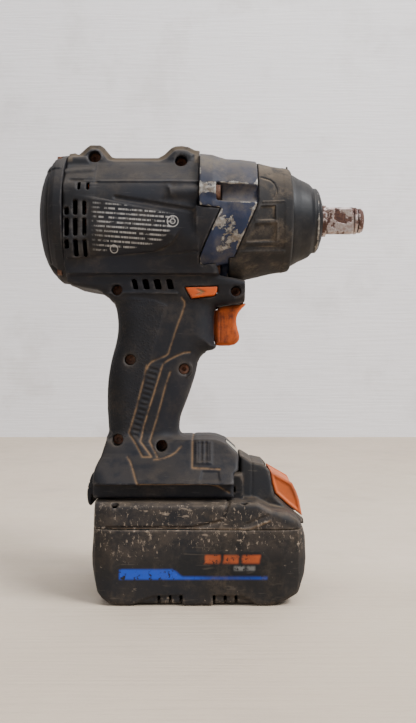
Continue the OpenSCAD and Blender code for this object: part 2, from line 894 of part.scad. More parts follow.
// Cam shaft with the planet carrier at its rear
module camshaft() {
  web_r = carrier_r + 4.5;
  color([0.6, 0.6, 0.63])
    difference() {
      union() {
        rod_x(-4.2, 30.5, cam_r);
        rod_x(30, 42.5, pilot_r);
        rod_x(-4.2, -1.2, web_r + 0.6);
        rod_x(-12.7, -10.5, web_r);
        for (i = [0 : 2])
          translate([0, 0, axis_z])
            rotate([120 * i + 60, 0, 0])
              box(-11, -4, -3, 3, carrier_r - 1.5, web_r - 0.8);
      }
      rod_x(-13, -11.4, 9.6 + run_gap);
      rod_x(-13, -10, sun_teeth * gear_m / 2 + gear_m + 0.6);
      for (i = [0 : 2])
        translate([0, 0, axis_z])
          rotate([120 * i, 0, 0])
            translate([-13, 0, carrier_r])
              rotate([0, 90, 0])
                cylinder(h = 13, r = pin_r + 0.02);
      for (s = [-1, 1]) {
        translate([ball_x, 0, axis_z + s * cam_r])
          sphere(r = ball_r + 0.03);
        for (t = [-1, 1])
          translate([ball_x, 0, axis_z + s * cam_r])
            rotate([0, 0, t * 30])
              rotate([0, -90, 0])
                cylinder(h = 13, r = ball_r + 0.03);
      }
    }
}

module cam_balls() {
  color([0.8, 0.8, 0.82])
    for (s = [-1, 1])
      translate([ball_x, 0, axis_z + s * cam_r])
        sphere(r = ball_r);
}

module planet_pins() {
  color([0.7, 0.7, 0.7])
    for (i = [0 : 2])
      translate([0, 0, axis_z])
        rotate([120 * i, 0, 0])
          translate([-12.5, 0, carrier_r])
            rotate([0, 90, 0])
              cylinder(h = 11.2, r = pin_r);
}

module planet_gear(i) {
  color([0.62, 0.6, 0.55])
    translate([-10.2, 0, axis_z])
      rotate([120 * i, 0, 0])
        translate([0, 0, carrier_r])
          rotate([0, 90, 0])
            linear_extrude(5.7)
              difference() {
                outer_gear(planet_teeth);
                circle(pin_r + run_gap);
              }
}

module planet_gear_1() {
  planet_gear(0);
}

module planet_gear_2() {
  planet_gear(1);
}

module planet_gear_3() {
  planet_gear(2);
}

module ring_gear() {
  pitch = ring_teeth * gear_m / 2;
  color([0.5, 0.5, 0.52])
    translate([-12.6, 0, axis_z])
      rotate([0, 90, 0])
        linear_extrude(8.2)
          difference() {
            union() {
              circle(ring_r);
              for (i = [0 : 2])
                rotate(120 * i + 60)
                  translate([-ring_r - 0.9, -2])
                    square([4, 4]);
            }
            polygon(gear_points(
              ring_teeth, gear_m, -backlash, pitch - 0.88 * gear_m, pitch + 1.15 * gear_m
            ));
          }
}

module motor_plate() {
  color([0.3, 0.3, 0.33])
    difference() {
      union() {
        rod_x(-20, -13.1, inner_r - 0.3);
        rod_x(-13.2, -11.7, 9.6);
      }
      rod_x(-21, -14, 9.53);
      rod_x(-21, -11, sun_teeth * gear_m / 2 + gear_m + 0.6);
      turned([[12.5, -21], [inner_r - 3.5, -21], [inner_r - 3.5, -15.5], [12.5, -15.5]]);
    }
}

module ball_bearing(x0) {
  turned([
    [shaft_r + run_gap, x0], [5, x0], [5.4, x0 + 0.5], [7, x0 + 0.5], [7.4, x0], [9.5, x0],
    [9.5, x0 + 6], [7.4, x0 + 6], [7, x0 + 5.5], [5.4, x0 + 5.5], [5, x0 + 6],
    [shaft_r + run_gap, x0 + 6]
  ]);
}

module front_bearing() {
  color([0.75, 0.75, 0.77])
    ball_bearing(-20.05);
}

module rear_bearing() {
  color([0.75, 0.75, 0.77])
    ball_bearing(barrel_x - 11);
}

// ---- motor ----

module rotor_shaft() {
  color([0.68, 0.68, 0.7]) {
    rod_x(barrel_x - 10.6, -13.8, shaft_r);
    translate([-13.8, 0, axis_z])
      rotate([0, 90, 0])
        linear_extrude(9.1)
          rotate(180 / sun_teeth)
            outer_gear(sun_teeth);
  }
}

module magnet_slots(grow) {
  for (i = [0 : 3])
    rotate(90 * i)
      translate([stator_bore - 5.4, -5.5 - grow])
        square([2.4 + grow, 11 + 2 * grow]);
}

module rotor_core() {
  color([0.5, 0.5, 0.5])
    plate_x(stator_x0 - 1, stator_x1 + 1)
      difference() {
        circle(stator_bore - 0.5);
        circle(shaft_r + 0.03);
        magnet_slots(0.1);
      }
}

module rotor_magnets() {
  color([0.35, 0.35, 0.37])
    plate_x(stator_x0, stator_x1)
      magnet_slots(0);
}

module cooling_fan() {
  x0 = barrel_x - 1.5;
  color([0.1, 0.1, 0.1])
    difference() {
      union() {
        rod_x(x0, x0 + 1.6, barrel_r - 5.5);
        rod_x(x0, x0 + 8.5, 6);
        plate_x(x0 + 1, x0 + 8)
          for (i = [0 : 10])
            rotate(i * 360 / 11)
              translate([9, 0])
                rotate(28)
                  square([barrel_r - 17.5, 1.2]);
      }
      rod_x(x0 - 1, x0 + 10, shaft_r + 0.03);
    }
}

// Six-toothed lamination stack
module stator_core() {
  color([0.45, 0.45, 0.47])
    plate_x(stator_x0, stator_x1)
      difference() {
        union() {
          difference() {
            circle(stator_r);
            circle(stator_r - 3.7);
          }
          for (i = [0 : 5])
            rotate(60 * i) {
              translate([stator_bore + 0.3, -3])
                square([stator_r - stator_bore - 2, 6]);
              intersection() {
                difference() {
                  circle(stator_bore + 1.6);
                  circle(stator_bore);
                }
                polygon([[0, 0], [30, -12.5], [30, 12.5]]);
              }
            }
        }
        circle(stator_bore);
      }
}

module stator_insulator() {
  color([0.5, 0.16, 0.12])
    for (x = [stator_x0 - 2, stator_x1])
      plate_x(x, x + 2) {
        difference() {
          circle(stator_r - 0.3);
          circle(stator_r - 3.4);
        }
        for (i = [0 : 5])
          rotate(60 * i)
            translate([stator_bore + 1.7, -3])
              square([stator_r - stator_bore - 4.2, 6]);
      }
}

module stator_coils() {
  color([0.72, 0.42, 0.22])
    for (i = [0 : 5])
      translate([0, 0, axis_z])
        rotate([60 * i + 90, 0, 0])
          difference() {
            box(stator_x0 - 4.6, stator_x1 + 4.6, -5.6, 5.6, stator_bore + 2.2, stator_r - 4.6);
            box(stator_x0 - 2.1, stator_x1 + 2.1, -3.2, 3.2, 0, 40);
          }
}

module sensor_board() {
  color([0.1, 0.3, 0.2])
    turned([[6, -22.6], [inner_r - 4, -22.6], [inner_r - 4, -21.2], [6, -21.2]]);
}

// ---- trigger and electronics ----

trigger_points = [
  [8.6, neck_z - 1.7], [5.2, neck_z - 1.8], [5.2, grip_at(0.71)], [15.1, grip_at(0.687)],
  [17.6, grip_at(0.716)], [18, grip_at(0.756)], [17, grip_at(0.81)], [16.3, grip_at(0.86)],
  [16.5, grip_at(0.9)], [17.4, grip_at(0.935)], [19.3, grip_at(0.97)], [21, neck_z - 0.5],
  [15.9, neck_z - 1.1]
];

module trigger() {
  color([0.8, 0.44, 0.16])
    difference() {
      union() {
        intersection() {
          side(-trigger_half, trigger_half)
            polygon(trigger_points);
          translate([0, 0, grip_at(0.5)])
            linear_extrude(grip_span)
              round_plan(0, 21.5, trigger_half, 0.5, 6);
        }
        box(-1, 6, -7.4, 7.4, grip_at(0.725), neck_z - 3.5);
        translate([-14, 0, grip_at(0.84)])
          rotate([0, 90, 0])
            cylinder(h = 14, r = 2.6);
      }
      translate([-1.2, 0, grip_at(0.84)])
        rotate([0, 90, 0])
          difference() {
            cylinder(h = 5.2, r = 5.4);
            cylinder(h = 5.2, r = 2.6);
          }
    }
}

module trigger_spring() {
  color([0.6, 0.6, 0.62])
    translate([switch_x1 + 0.05, 0, grip_at(0.84)])
      rotate([0, 90, 0])
        coil(4.1, 0.45, 5, 10.5, 16, 6);
}

module switch_body() {
  color([0.09, 0.09, 0.1])
    difference() {
      union() {
        box(-28, switch_x1, -9, 9, grip_at(0.66), neck_z - 0.8);
        box(-24, -10, -10.5, 10.5, grip_at(0.7), neck_z - 4);
      }
      translate([-22, 0, grip_at(0.84)])
        rotate([0, 90, 0])
          cylinder(h = 20, r = 2.6 + run_gap);
    }
}

function button_points() = [
  [-8.1, low - 5.5], [7, low - 5.1], [6.8, low - 7.5], [5.6, low - 9.2], [-5.2, low - 10.6]
];

module direction_button() {
  color([0.86, 0.4, 0.13])
    difference() {
      union() {
        side(-19, 19)
          polygon(button_points());
      }
      // chevrons pressed into each end
      for (s = [-1, 1])
        side(s > 0 ? 18.5 : -20, s > 0 ? 20 : -18.5)
          polygon([
            [-2.5, low - 8.9], [1, low - 7.5], [-2.5, low - 6.3], [-1.6, low - 7.5]
          ]);
    }
}

module control_board() {
  z0 = tongue_z + 9.5;
  color([0.1, 0.28, 0.18]) {
    difference() {
      box(-44, -6, -13, 13, z0, z0 + 1.6);
      pin_y(-40.1, foot_z - 0.1, 4.6, -20, 20);
      pin_y(-19.2, foot_z - 2.7, 4.6, -20, 20);
    }
    for (i = [0, 1])
      box(-35 + 6 * i, -30 + 6 * i, 4, 10, z0 - 1.2, z0 + 0.1);
  }
}

module heat_sink() {
  z0 = tongue_z + 5.4;
  color([0.7, 0.7, 0.72])
    difference() {
      box(-33, -10, -12, 3, z0, z0 + 3.9);
      pin_y(-19.2, foot_z - 2.7, 4.6, -20, 20);
      for (i = [0 : 4])
        box(-31.5 + 4.4 * i, -29.5 + 4.4 * i, -13, 4, z0 - 1, z0 + 2.4);
    }
}

lens_points = [
  [11.5, foot_z - 2.2], [16.9, deck_z + 12.6], [16.9, deck_z + 6.4], [11.7, deck_z + 8.8]
];

module led_lens() {
  color([0.85, 0.82, 0.72])
    side(-7, 7)
      polygon(lens_points);
}

module led_board() {
  color([0.85, 0.85, 0.8]) {
    box(9, 10.2, -6, 6, deck_z + 7.6, foot_z - 5);
    box(10.1, 11.3, -2, 2, deck_z + 9, foot_z - 7);
  }
}

module terminal_block() {
  color([0.12, 0.12, 0.12])
    difference() {
      box(-33.6, -12.4, -16.6, 16.6, tongue_z + 0.6, tongue_z + 4.6);
      for (y = [-12, -4, 4, 12])
        box(-29, -17, y - 0.45, y + 0.45, tongue_z - 1, tongue_z + 6);
    }
}

module terminal_blades() {
  color([0.78, 0.6, 0.35])
    for (y = [-12, -4, 4, 12])
      box(-28.9, -17.1, y - 0.4, y + 0.4, tongue_z - 7.5, tongue_z + 4.9);
}

// ---- battery ----

pack_points = [
  [pack_x0 + 2, pack_top], [pack_x0 + 1.6, pack_top - 3.5], [pack_x0 + 1, 29.8 * q], [pack_x0, 21.3 * q],
  [pack_x0 + 0.3, 16.3 * q], [pack_x0 + 1.7, 10.6 * q], [pack_x0 + 3.4, 4.6 * q], [pack_x0 + 5.6, 2.1],
  [pack_x0 + 9, 0.6], [pack_x0 + 14.5, 0], [pack_x1 - 18, 0], [pack_x1 - 13.8, 1.1],
  [pack_x1 - 8.8, 3.2], [pack_x1 - 4.4, 5.2], [pack_x1 - 1.2, 12 * q], [pack_x1, 19.3 * q],
  [pack_x1 - 0.7, 30 * q], [pack_x1 - 2.4, 34.8 * q], [pack_x1 - 5.4, 38.6 * q],
  [pack_x1 - 9.4, 41 * q], [latch_x + 31.5, pack_top - 3.4], [latch_x + 25, pack_top]
];

// Slope of the cheeks beside the latch
cheek_points = [
  [latch_x + 47, pack_split], [latch_x + 47, 35.6 * q], [latch_x + 40.1, pack_top - 5.4],
  [latch_x + 33.8, pack_top + 0.3], [latch_x + 32.4, pack_top + 6], [latch_x + 31.3, pack_top + 12.4],
  [latch_x + 29.4, pack_top + 15], [23.4, pack_top + 16.3],
  [18.7, pack_top + 19.2], [hump_x, pack_top + 18.6], [hump_x, pack_split]
];

latch_points = [
  [latch_x + 32, pack_top + 12.2], [latch_x + 42.8, pack_top + 6], [latch_x + 44.8, pack_top + 2],
  [latch_x + 46.2, pack_top - 2.1], [latch_x + 47.6, pack_top - 10], [latch_x + 40.8, pack_top - 4.6],
  [latch_x + 34.5, pack_top + 1.1], [latch_x + 33, pack_top + 6]
];

module pack_body(g) {
  intersection() {
    side(-40 - cell_len, 40 + cell_len)
      offset(delta = -g)
        polygon(pack_points);
    front(pack_x0 - 1, pack_x1 + 1)
      offset(delta = -g)
        mirrored_outline([
          [pack_half - 1.5, pack_top], [pack_half, pack_top - 2.5], [pack_half, 6], [pack_half - 1.2, 2.4],
          [pack_half - 5, 0]
        ]);
    linear_extrude(pack_top + 1)
      round_plan(pack_x0 + g, pack_x1 - g, pack_half - g, 9, 12);
  }
}

module cell_bores(r) {
  for (i = [0 : cells_across - 1])
    for (j = [0, 1])
      pin_y(
        pack_mid + (i - (cells_across - 1) / 2) * cell_pitch, cell_z + j * cell_pitch, r,
        -cell_len / 2, cell_len / 2
      );
}

screw_y = pack_half - 2.6;
pack_screw_x = [pack_x0 + 12, 19];

module pack_screw_bosses(z0, z1) {
  for (s = [-1, 1])
    for (x = pack_screw_x)
      translate([x, s * screw_y, z0])
        cylinder(h = z1 - z0, r = 2);
}

module battery_lower_case() {
  color([0.16, 0.16, 0.17])
    difference() {
      union() {
        difference() {
          pack_body(0);
          pack_body(pack_wall);
        }
        pack_screw_bosses(3.5, pack_split);
      }
      cell_bores(cell_d / 2 + 0.12);
      box(-90, 90, -80, 80, pack_split, 99);
      for (s = [-1, 1])
        for (x = pack_screw_x)
          translate([x, s * screw_y, pack_split - 16])
            cylinder(h = 20, r = 1.1);
      // wear strips: narrow slots across the lower edge of each side
      for (x = [-19.5, -14.4, -9.5, 5.3, 10.3, 15.2])
        for (s = [-1, 1])
          box(x - 0.5, x + 0.5, s > 0 ? pack_half - 3.5 : -pack_half - 1, s > 0 ? pack_half + 1 : 3.5 - pack_half, 1, 4.5);
    }
}

module latch_pocket() {
  // room for the button and its stroke
  intersection() {
    side(-15.2, 15.2)
      polygon([
        [latch_x + 32.4, pack_top + 30], [latch_x + 29.3, pack_top + 11.4], [latch_x + 29, pack_top - 2],
        [latch_x + 33, pack_top - 4], [latch_x + 38.8, pack_top - 6.9], [latch_x + 46.4, pack_top - 13.1],
        [latch_x + 60, pack_top - 13.1], [latch_x + 60, pack_top + 30]
      ]);
    box(0, 90, -20, 20, pack_split - 1, 99);
  }
  // channel for the arm and the opening for its hook
  box(2, latch_x + 33, -8.4, 8.4, pack_top + 1.6, pack_top + 9.2);
  box(2, 12.6, -6.4, 6.4, pack_top + 5, tongue_z + 1);
}

module battery_upper_case() {
  color([0.17, 0.17, 0.18])
    difference() {
      union() {
        difference() {
          union() {
            pack_body(0);
            intersection() {
              side(-20, 20)
                polygon(cheek_points);
              front(hump_x, latch_x + 49)
                polygon([
                  [-20, 0], [-20, pack_top + 2], [-15.6, pack_top + 20], [15.6, pack_top + 20],
                  [20, pack_top + 2], [20, 0]
                ]);
            }
            box(tongue_x0, hump_x + 1, -tongue_half, tongue_half, pack_top - 1, tongue_z);
          }
          pack_body(pack_wall);
          box(tongue_x0 + 2.4, 1, 2.4 - tongue_half, tongue_half - 2.4, pack_top - 4, tongue_z - 2.4);
        }
        // floor under the latch
        intersection() {
          pack_body(0.3);
          box(latch_x + 26, latch_x + 60, -17.4, 17.4, pack_split, pack_top);
        }
        pack_screw_bosses(pack_split, pack_top - 1);
        for (s = [-1, 1])
          box(tongue_x0 + 1, 1, s > 0 ? 18.4 : -22, s > 0 ? 22 : -18.4, pack_top - 1, tongue_z - 1);
      }
      box(-90, 90, -80, 80, -1, pack_split);
      cell_bores(cell_d / 2 + 0.12);
      latch_pocket();
      // grooves for the rails of the foot
      for (s = [-1, 1])
        box(
          tongue_x0 - 1, 15.2, s > 0 ? 21 : -tongue_half - 1, s > 0 ? tongue_half + 1 : -21,
          pack_top + 3, pack_top + 5.6
        );
      // slots for the blades, open at the rear end
      for (y = [-12, -4, 4, 12])
        box(tongue_x0 - 1, -15, y - 1.1, y + 1.1, pack_top + 2.9, tongue_z + 1);
      for (s = [-1, 1])
        for (x = pack_screw_x) {
          translate([x, s * screw_y, pack_split - 1])
            cylinder(h = 20, r = 1.25);
          translate([x, s * screw_y, pack_top - 2.6])
            cylinder(h = 9, r = 2.25);
        }
    }
}

module battery_screws() {
  color([0.5, 0.5, 0.5])
    for (s = [-1, 1])
      for (x = pack_screw_x)
        translate([x, s * screw_y, 0])
          difference() {
            union() {
              translate([0, 0, pack_split - 14])
                cylinder(h = pack_top - 2.6 - pack_split + 14.1, r = 1.05);
              translate([0, 0, pack_top - 2.6])
                cylinder(h = 1.6, r = 1.9);
            }
            translate([0, 0, pack_top - 1.8])
              cylinder(h = 2, r = 1, $fn = 6);
          }
}

module battery_cells() {
  color([0.2, 0.45, 0.3]) {
    cell_bores(cell_d / 2);
  }
}

module cell_holders() {
  h = 2 * cell_pitch + 3.4;
  w = cells_across * cell_pitch + 0.6;
  color([0.75, 0.73, 0.68])
    for (y = [-cell_len / 2 + 1, cell_len / 2 - 7])
      side(y, y + 6)
        difference() {
          translate([pack_mid - w / 2 + 8, cell_z - 4])
            square([w - 16, h - cell_z]);
          for (i = [0 : cells_across - 1])
            for (j = [0, 1])
              translate([pack_mid + (i - (cells_across - 1) / 2) * cell_pitch, cell_z + j * cell_pitch])
                circle(cell_d / 2 + 0.06);
        }
}

module cell_strips() {
  color([0.8, 0.8, 0.78])
    for (s = [-1, 1])
      for (i = [0 : cells_across - 1]) {
        x = pack_mid + (i - (cells_across - 1) / 2) * cell_pitch;
        y0 = s > 0 ? cell_len / 2 + 0.02 : -cell_len / 2 - 0.32;
        box(x - 4, x + 4, y0, y0 + 0.3, cell_z - 5, cell_z + cell_pitch + 5);
      }
}

module battery_board() {
  z0 = cell_z + 1.5 * cell_pitch + 0.7;
  color([0.1, 0.28, 0.2])
    box(tongue_x0 + 3.5, 14, -16, 16, z0, z0 + 1.4);
}

module battery_contacts() {
  z0 = cell_z + 1.5 * cell_pitch + 2.15;
  color([0.8, 0.65, 0.35])
    for (y = [-12, -4, 4, 12]) {
      box(-30, -18, y - 1.6, y + 1.6, z0, z0 + 0.6);
      for (s = [-1, 1])
        box(-30, -18, y + s * 0.8 - 0.25, y + s * 0.8 + 0.25, z0, tongue_z - 3);
    }
}

module battery_latch() {
  color([0.78, 0.4, 0.24])
    union() {
      side(-14.8, 14.8)
        polygon(latch_points);
      box(6.5, latch_x + 35, -8, 8, pack_top + 4.4, pack_top + 8.6);
      side(-6, 6)
        polygon([
          [6.5, pack_top + 8], [6.5, tongue_z + 0.5], [8.5, tongue_z + 1.3], [12, tongue_z + 1.3],
          [12, pack_top + 8]
        ]);
    }
}

module latch_springs() {
  color([0.6, 0.6, 0.62])
    for (s = [-1, 1])
      translate([22, s * 4.4, pack_top + 1.65])
        coil(2, 0.35, 3, 2.7, 14, 6);
}

// ---- build ----

right_housing();
left_housing();
rear_cap();
cap_screws();
housing_screws();
foot_bumper();
hammer_case();
case_screws();
front_boot();
anvil_bushing();
anvil_washer();
anvil();
friction_ring();
o_ring();
hammer();
hammer_spring();
spring_washer();
camshaft();
cam_balls();
planet_pins();
planet_gear_1();
planet_gear_2();
planet_gear_3();
ring_gear();
motor_plate();
front_bearing();
rear_bearing();
rotor_shaft();
rotor_core();
rotor_magnets();
cooling_fan();
stator_core();
stator_insulator();
stator_coils();
sensor_board();
switch_body();
trigger();
trigger_spring();
direction_button();
control_board();
heat_sink();
led_board();
led_lens();
terminal_block();
terminal_blades();
battery_upper_case();
battery_lower_case();
battery_cells();
cell_holders();
cell_strips();
battery_board();
battery_contacts();
battery_screws();
battery_latch();
latch_springs();
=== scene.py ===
# %% Load the frame
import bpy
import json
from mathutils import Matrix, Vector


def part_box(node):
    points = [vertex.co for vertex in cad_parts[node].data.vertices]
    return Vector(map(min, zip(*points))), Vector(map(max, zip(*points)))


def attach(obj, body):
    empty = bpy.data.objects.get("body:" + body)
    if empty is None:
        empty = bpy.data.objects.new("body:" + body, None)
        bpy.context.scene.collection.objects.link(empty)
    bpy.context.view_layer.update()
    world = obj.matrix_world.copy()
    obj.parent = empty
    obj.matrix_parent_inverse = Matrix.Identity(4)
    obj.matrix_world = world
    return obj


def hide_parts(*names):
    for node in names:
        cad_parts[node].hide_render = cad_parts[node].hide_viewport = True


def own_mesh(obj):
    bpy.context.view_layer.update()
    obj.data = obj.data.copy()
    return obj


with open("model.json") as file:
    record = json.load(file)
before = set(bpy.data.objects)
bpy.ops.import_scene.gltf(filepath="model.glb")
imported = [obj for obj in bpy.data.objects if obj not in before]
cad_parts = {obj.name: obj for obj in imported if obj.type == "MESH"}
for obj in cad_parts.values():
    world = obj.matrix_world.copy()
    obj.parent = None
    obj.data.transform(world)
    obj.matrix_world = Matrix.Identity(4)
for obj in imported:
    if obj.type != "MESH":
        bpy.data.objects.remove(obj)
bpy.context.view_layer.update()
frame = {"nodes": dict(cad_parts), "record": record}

import json
import math
import bpy
import numpy as np
from mathutils import Vector

# %% [markdown]
# # A well used impact wrench
# The mechanical frame is already loaded, in metres: X points to the square drive, Y to
# the left and Z up. Each moulded skin of the tool is now made again with its rounded
# edges, grooves, vents and wear. I work in millimetres, as the drawing does, and
# turn a finished mesh into metres at the very end.

# %% Sizes that many pieces share
MM = 0.001
AXIS = 179.5
anvil_low, anvil_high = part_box("anvil")
print("drive axis height", (anvil_low.z + anvil_high.z) / 2 / MM)
nodes = frame["nodes"]


# %% [markdown]
# ## Carving with distance fields
# Moulded plastic has soft edges everywhere, and its details melt into each other. That
# is easy to copy with a distance field: a number at each point of a block of space, that
# is negative inside the piece and grows outwards. Joining two shapes takes the smaller
# number, cutting takes the larger, and blending the two rounds the corner between them.

# %% A block of space and the basic shapes
class Block:
    """A block of space sampled on a regular grid, in millimetres."""

    def __init__(self, low, high, step):
        self.low, self.step = np.array(low, float), step
        count = [int(math.ceil((b - a) / step)) + 1 for a, b in zip(low, high)]
        axes = [a + step * np.arange(n) for a, n in zip(low, count)]
        self.x = axes[0].astype("f4")[:, None, None]
        self.y = axes[1].astype("f4")[None, :, None]
        self.z = axes[2].astype("f4")[None, None, :]


def outline(u, v, points, closed=True):
    """Distance to a polygon drawn in two of the axes, negative inside."""
    u, v = np.broadcast_arrays(u, v)
    best, inside = np.full(u.shape, 1e9, "f4"), np.zeros(u.shape, bool)
    ends = points[1:] + points[:1] if closed else points[1:]
    for (ax, az), (bx, bz) in zip(points, ends):
        ex, ez, wx, wz = bx - ax, bz - az, u - ax, v - az
        t = np.clip((wx * ex + wz * ez) / (ex * ex + ez * ez + 1e-9), 0, 1)
        best = np.minimum(best, (wx - ex * t) ** 2 + (wz - ez * t) ** 2)
        if closed:
            inside ^= ((az > v) != (bz > v)) & (wx < ex * wz / (ez if ez else 1e-9))
    best = np.sqrt(best)
    return np.where(inside, -best, best) if closed else best


def soften(points, rounds=2, closed=True):
    """Cuts the corners off a polygon, which turns a few points into a smooth line."""
    for _ in range(rounds):
        ends = points[1:] + points[:1] if closed else points[1:]
        cut = []
        for (ax, az), (bx, bz) in zip(points, ends):
            cut += [(0.75 * ax + 0.25 * bx, 0.75 * az + 0.25 * bz)]
            cut += [(0.25 * ax + 0.75 * bx, 0.25 * az + 0.75 * bz)]
        points = cut if closed else points[:1] + cut + points[-1:]
    return points


def join(a, b, k=0.0):
    """Both shapes, with a fillet of about k where they meet."""
    if k <= 0:
        return np.minimum(a, b)
    h = np.clip(0.5 + 0.5 * (b - a) / k, 0, 1)
    return b * (1 - h) + a * h - k * h * (1 - h)


def cut(a, b, k=0.0):
    """The first shape without the second."""
    return -join(-a, b, k)


def both(a, b, k=0.0):
    """Only what is in both shapes."""
    return -join(-a, -b, k)


def extrude(flat, across, half, r):
    """A flat outline given a thickness of twice half, with edges rounded to r."""
    a, b = flat + r, np.abs(across) - half + r
    return np.minimum(np.maximum(a, b), 0) + np.hypot(np.maximum(a, 0), np.maximum(b, 0)) - r


def turned(block, profile, height=AXIS):
    """A profile of (x, radius) points turned round the drive axis."""
    reach = max(p[1] for p in profile) + 12
    radii = np.arange(-4, reach, block.step, dtype="f4")
    table = outline(block.x[:, 0, :], radii[None, :], profile)
    rho = np.hypot(block.y, block.z - height)[0]
    at = np.clip((rho + 4) / block.step, 0, len(radii) - 1.001)
    low = at.astype(int)
    part = (at - low).astype("f4")
    return table[:, low] * (1 - part) + table[:, low + 1] * part


def rod(block, axis, where, r, start, end):
    """A cylinder along one axis; where is its place on the other two."""
    grids = {"x": block.x, "y": block.y, "z": block.z}
    along = grids.pop(axis)
    one, two = grids.values()
    flat = np.hypot(one - where[0], two - where[1]) - r
    return np.maximum(flat, np.abs(along - (start + end) / 2) - (end - start) / 2)


def brick(block, low, high, r=0.0):
    """A box between two corners, with edges rounded to r."""
    away = [
        np.abs(g - (a + b) / 2) - (b - a) / 2 + r
        for g, a, b in zip((block.x, block.y, block.z), low, high)
    ]
    outside = np.sqrt(sum(np.maximum(q, 0) ** 2 for q in away))
    return outside + np.minimum(np.maximum(np.maximum(away[0], away[1]), away[2]), 0) - r


def step_in(flat, soft=0.8):
    """1 well inside an outline and 0 outside it, with a soft slope between."""
    t = np.clip(0.5 - flat / soft, 0, 1)
    return t * t * (3 - 2 * t)


def line(u, v, points, width, rounds=1):
    """1 along an open line of that width, fading to 0 beside it."""
    path = soften(points, rounds, closed=False) if rounds else points
    return np.clip(1.25 - outline(u, v, path, closed=False) / (width / 2), 0, 1)


print("shape helpers ready")


# %% [markdown]
# ## From a field to a mesh
# The skin of the field is found cell by cell: every little cube that the surface crosses
# gets one point, and each crossed edge of the grid gets one face. Each point then slides
# along the field's slope until it lies exactly on the surface, which removes the steps.

# %% Meshing
CORNERS = [(i, j, k) for i in (0, 1) for j in (0, 1) for k in (0, 1)]
EDGES = [
    (a, b) for a in CORNERS for b in CORNERS if a < b and sum(abs(p - q) for p, q in zip(a, b)) == 1
]


def sample(field, where):
    """The field's value between grid points."""
    top = np.array(field.shape) - 1.001
    where = np.clip(where, 0, top)
    low = where.astype(int)
    part = where - low
    total = 0
    for i, j, k in CORNERS:
        share = (
            (part[:, 0] if i else 1 - part[:, 0])
            * (part[:, 1] if j else 1 - part[:, 1])
            * (part[:, 2] if k else 1 - part[:, 2])
        )
        total = total + share * field[low[:, 0] + i, low[:, 1] + j, low[:, 2] + k]
    return total


def slope(field, where):
    """Which way the field grows fastest."""
    out = []
    for axis in range(3):
        move = np.zeros(3)
        move[axis] = 0.5
        out.append(sample(field, where + move) - sample(field, where - move))
    return np.stack(out, 1)


def skin(block, field):
    """Points in millimetres, quads, and the outward direction at each point."""
    field = np.pad(np.ascontiguousarray(field, "f4"), 1, constant_values=1.0)
    low = block.low - block.step
    inside = field < 0
    cell = tuple(n - 1 for n in field.shape)
    count = np.zeros(cell, "i1")
    for i, j, k in CORNERS:
        count += inside[i : i + cell[0], j : j + cell[1], k : k + cell[2]]
    mixed = (count > 0) & (count < 8)
    where = np.argwhere(mixed)
    number = np.full(cell, -1, "i4")
    number[mixed] = np.arange(len(where))
    total, hits = np.zeros((len(where), 3)), np.zeros(len(where))
    for a, b in EDGES:
        fa = field[where[:, 0] + a[0], where[:, 1] + a[1], where[:, 2] + a[2]]
        fb = field[where[:, 0] + b[0], where[:, 1] + b[1], where[:, 2] + b[2]]
        crossed = (fa < 0) != (fb < 0)
        t = np.where(crossed, fa / np.where(crossed, fa - fb, 1), 0)
        spot = np.array(a) + t[:, None] * (np.array(b) - np.array(a))
        total += np.where(crossed[:, None], spot, 0)
        hits += crossed
    points = where + total / hits[:, None]
    for _ in range(2):
        way = slope(field, points)
        size = (way**2).sum(1, keepdims=True) + 1e-6
        points -= np.clip(sample(field, points)[:, None] * way / size, -0.3, 0.3)
    quads = []
    for axis in range(3):
        one, two = [a for a in range(3) if a != axis]
        here = [slice(None)] * 3
        there = [slice(None)] * 3
        here[axis], there[axis] = slice(0, -1), slice(1, None)
        first, second = inside[tuple(here)], inside[tuple(there)]
        crossed = np.argwhere(first != second)
        keep = (crossed[:, one] > 0) & (crossed[:, two] > 0)
        keep &= (crossed[:, one] < cell[one]) & (crossed[:, two] < cell[two])
        crossed = crossed[keep]
        flip = first[tuple(crossed.T)] ^ (axis == 1)
        ring = []
        for p, q in ((1, 1), (0, 1), (0, 0), (1, 0)):
            at = crossed.copy()
            at[:, one] -= p
            at[:, two] -= q
            ring.append(number[tuple(at.T)])
        ring = np.stack(ring, 1)
        quads.append(np.where(flip[:, None], ring, ring[:, ::-1]))
    way = slope(field, points)
    way /= np.linalg.norm(way, axis=1, keepdims=True) + 1e-9
    return low + points * block.step, np.concatenate(quads), way


def bend_of(points, quads, way, rounds):
    """How much the surface bends at each point: above 0 on edges, below 0 in corners."""
    a, b = quads.ravel(), np.roll(quads, -1, 1).ravel()
    total, seen = np.zeros_like(points), np.zeros(len(points))
    for s, e in ((a, b), (b, a)):
        for axis in range(3):
            total[:, axis] += np.bincount(s, points[e, axis], len(points))
        seen += np.bincount(s, minlength=len(points))
    seen = np.maximum(seen, 1)
    bend = -((total / seen[:, None] - points) * way).sum(1)
    for _ in range(rounds):
        spread = np.bincount(a, bend[b], len(points)) + np.bincount(b, bend[a], len(points))
        bend = 0.4 * bend + 0.6 * spread / seen
    return bend


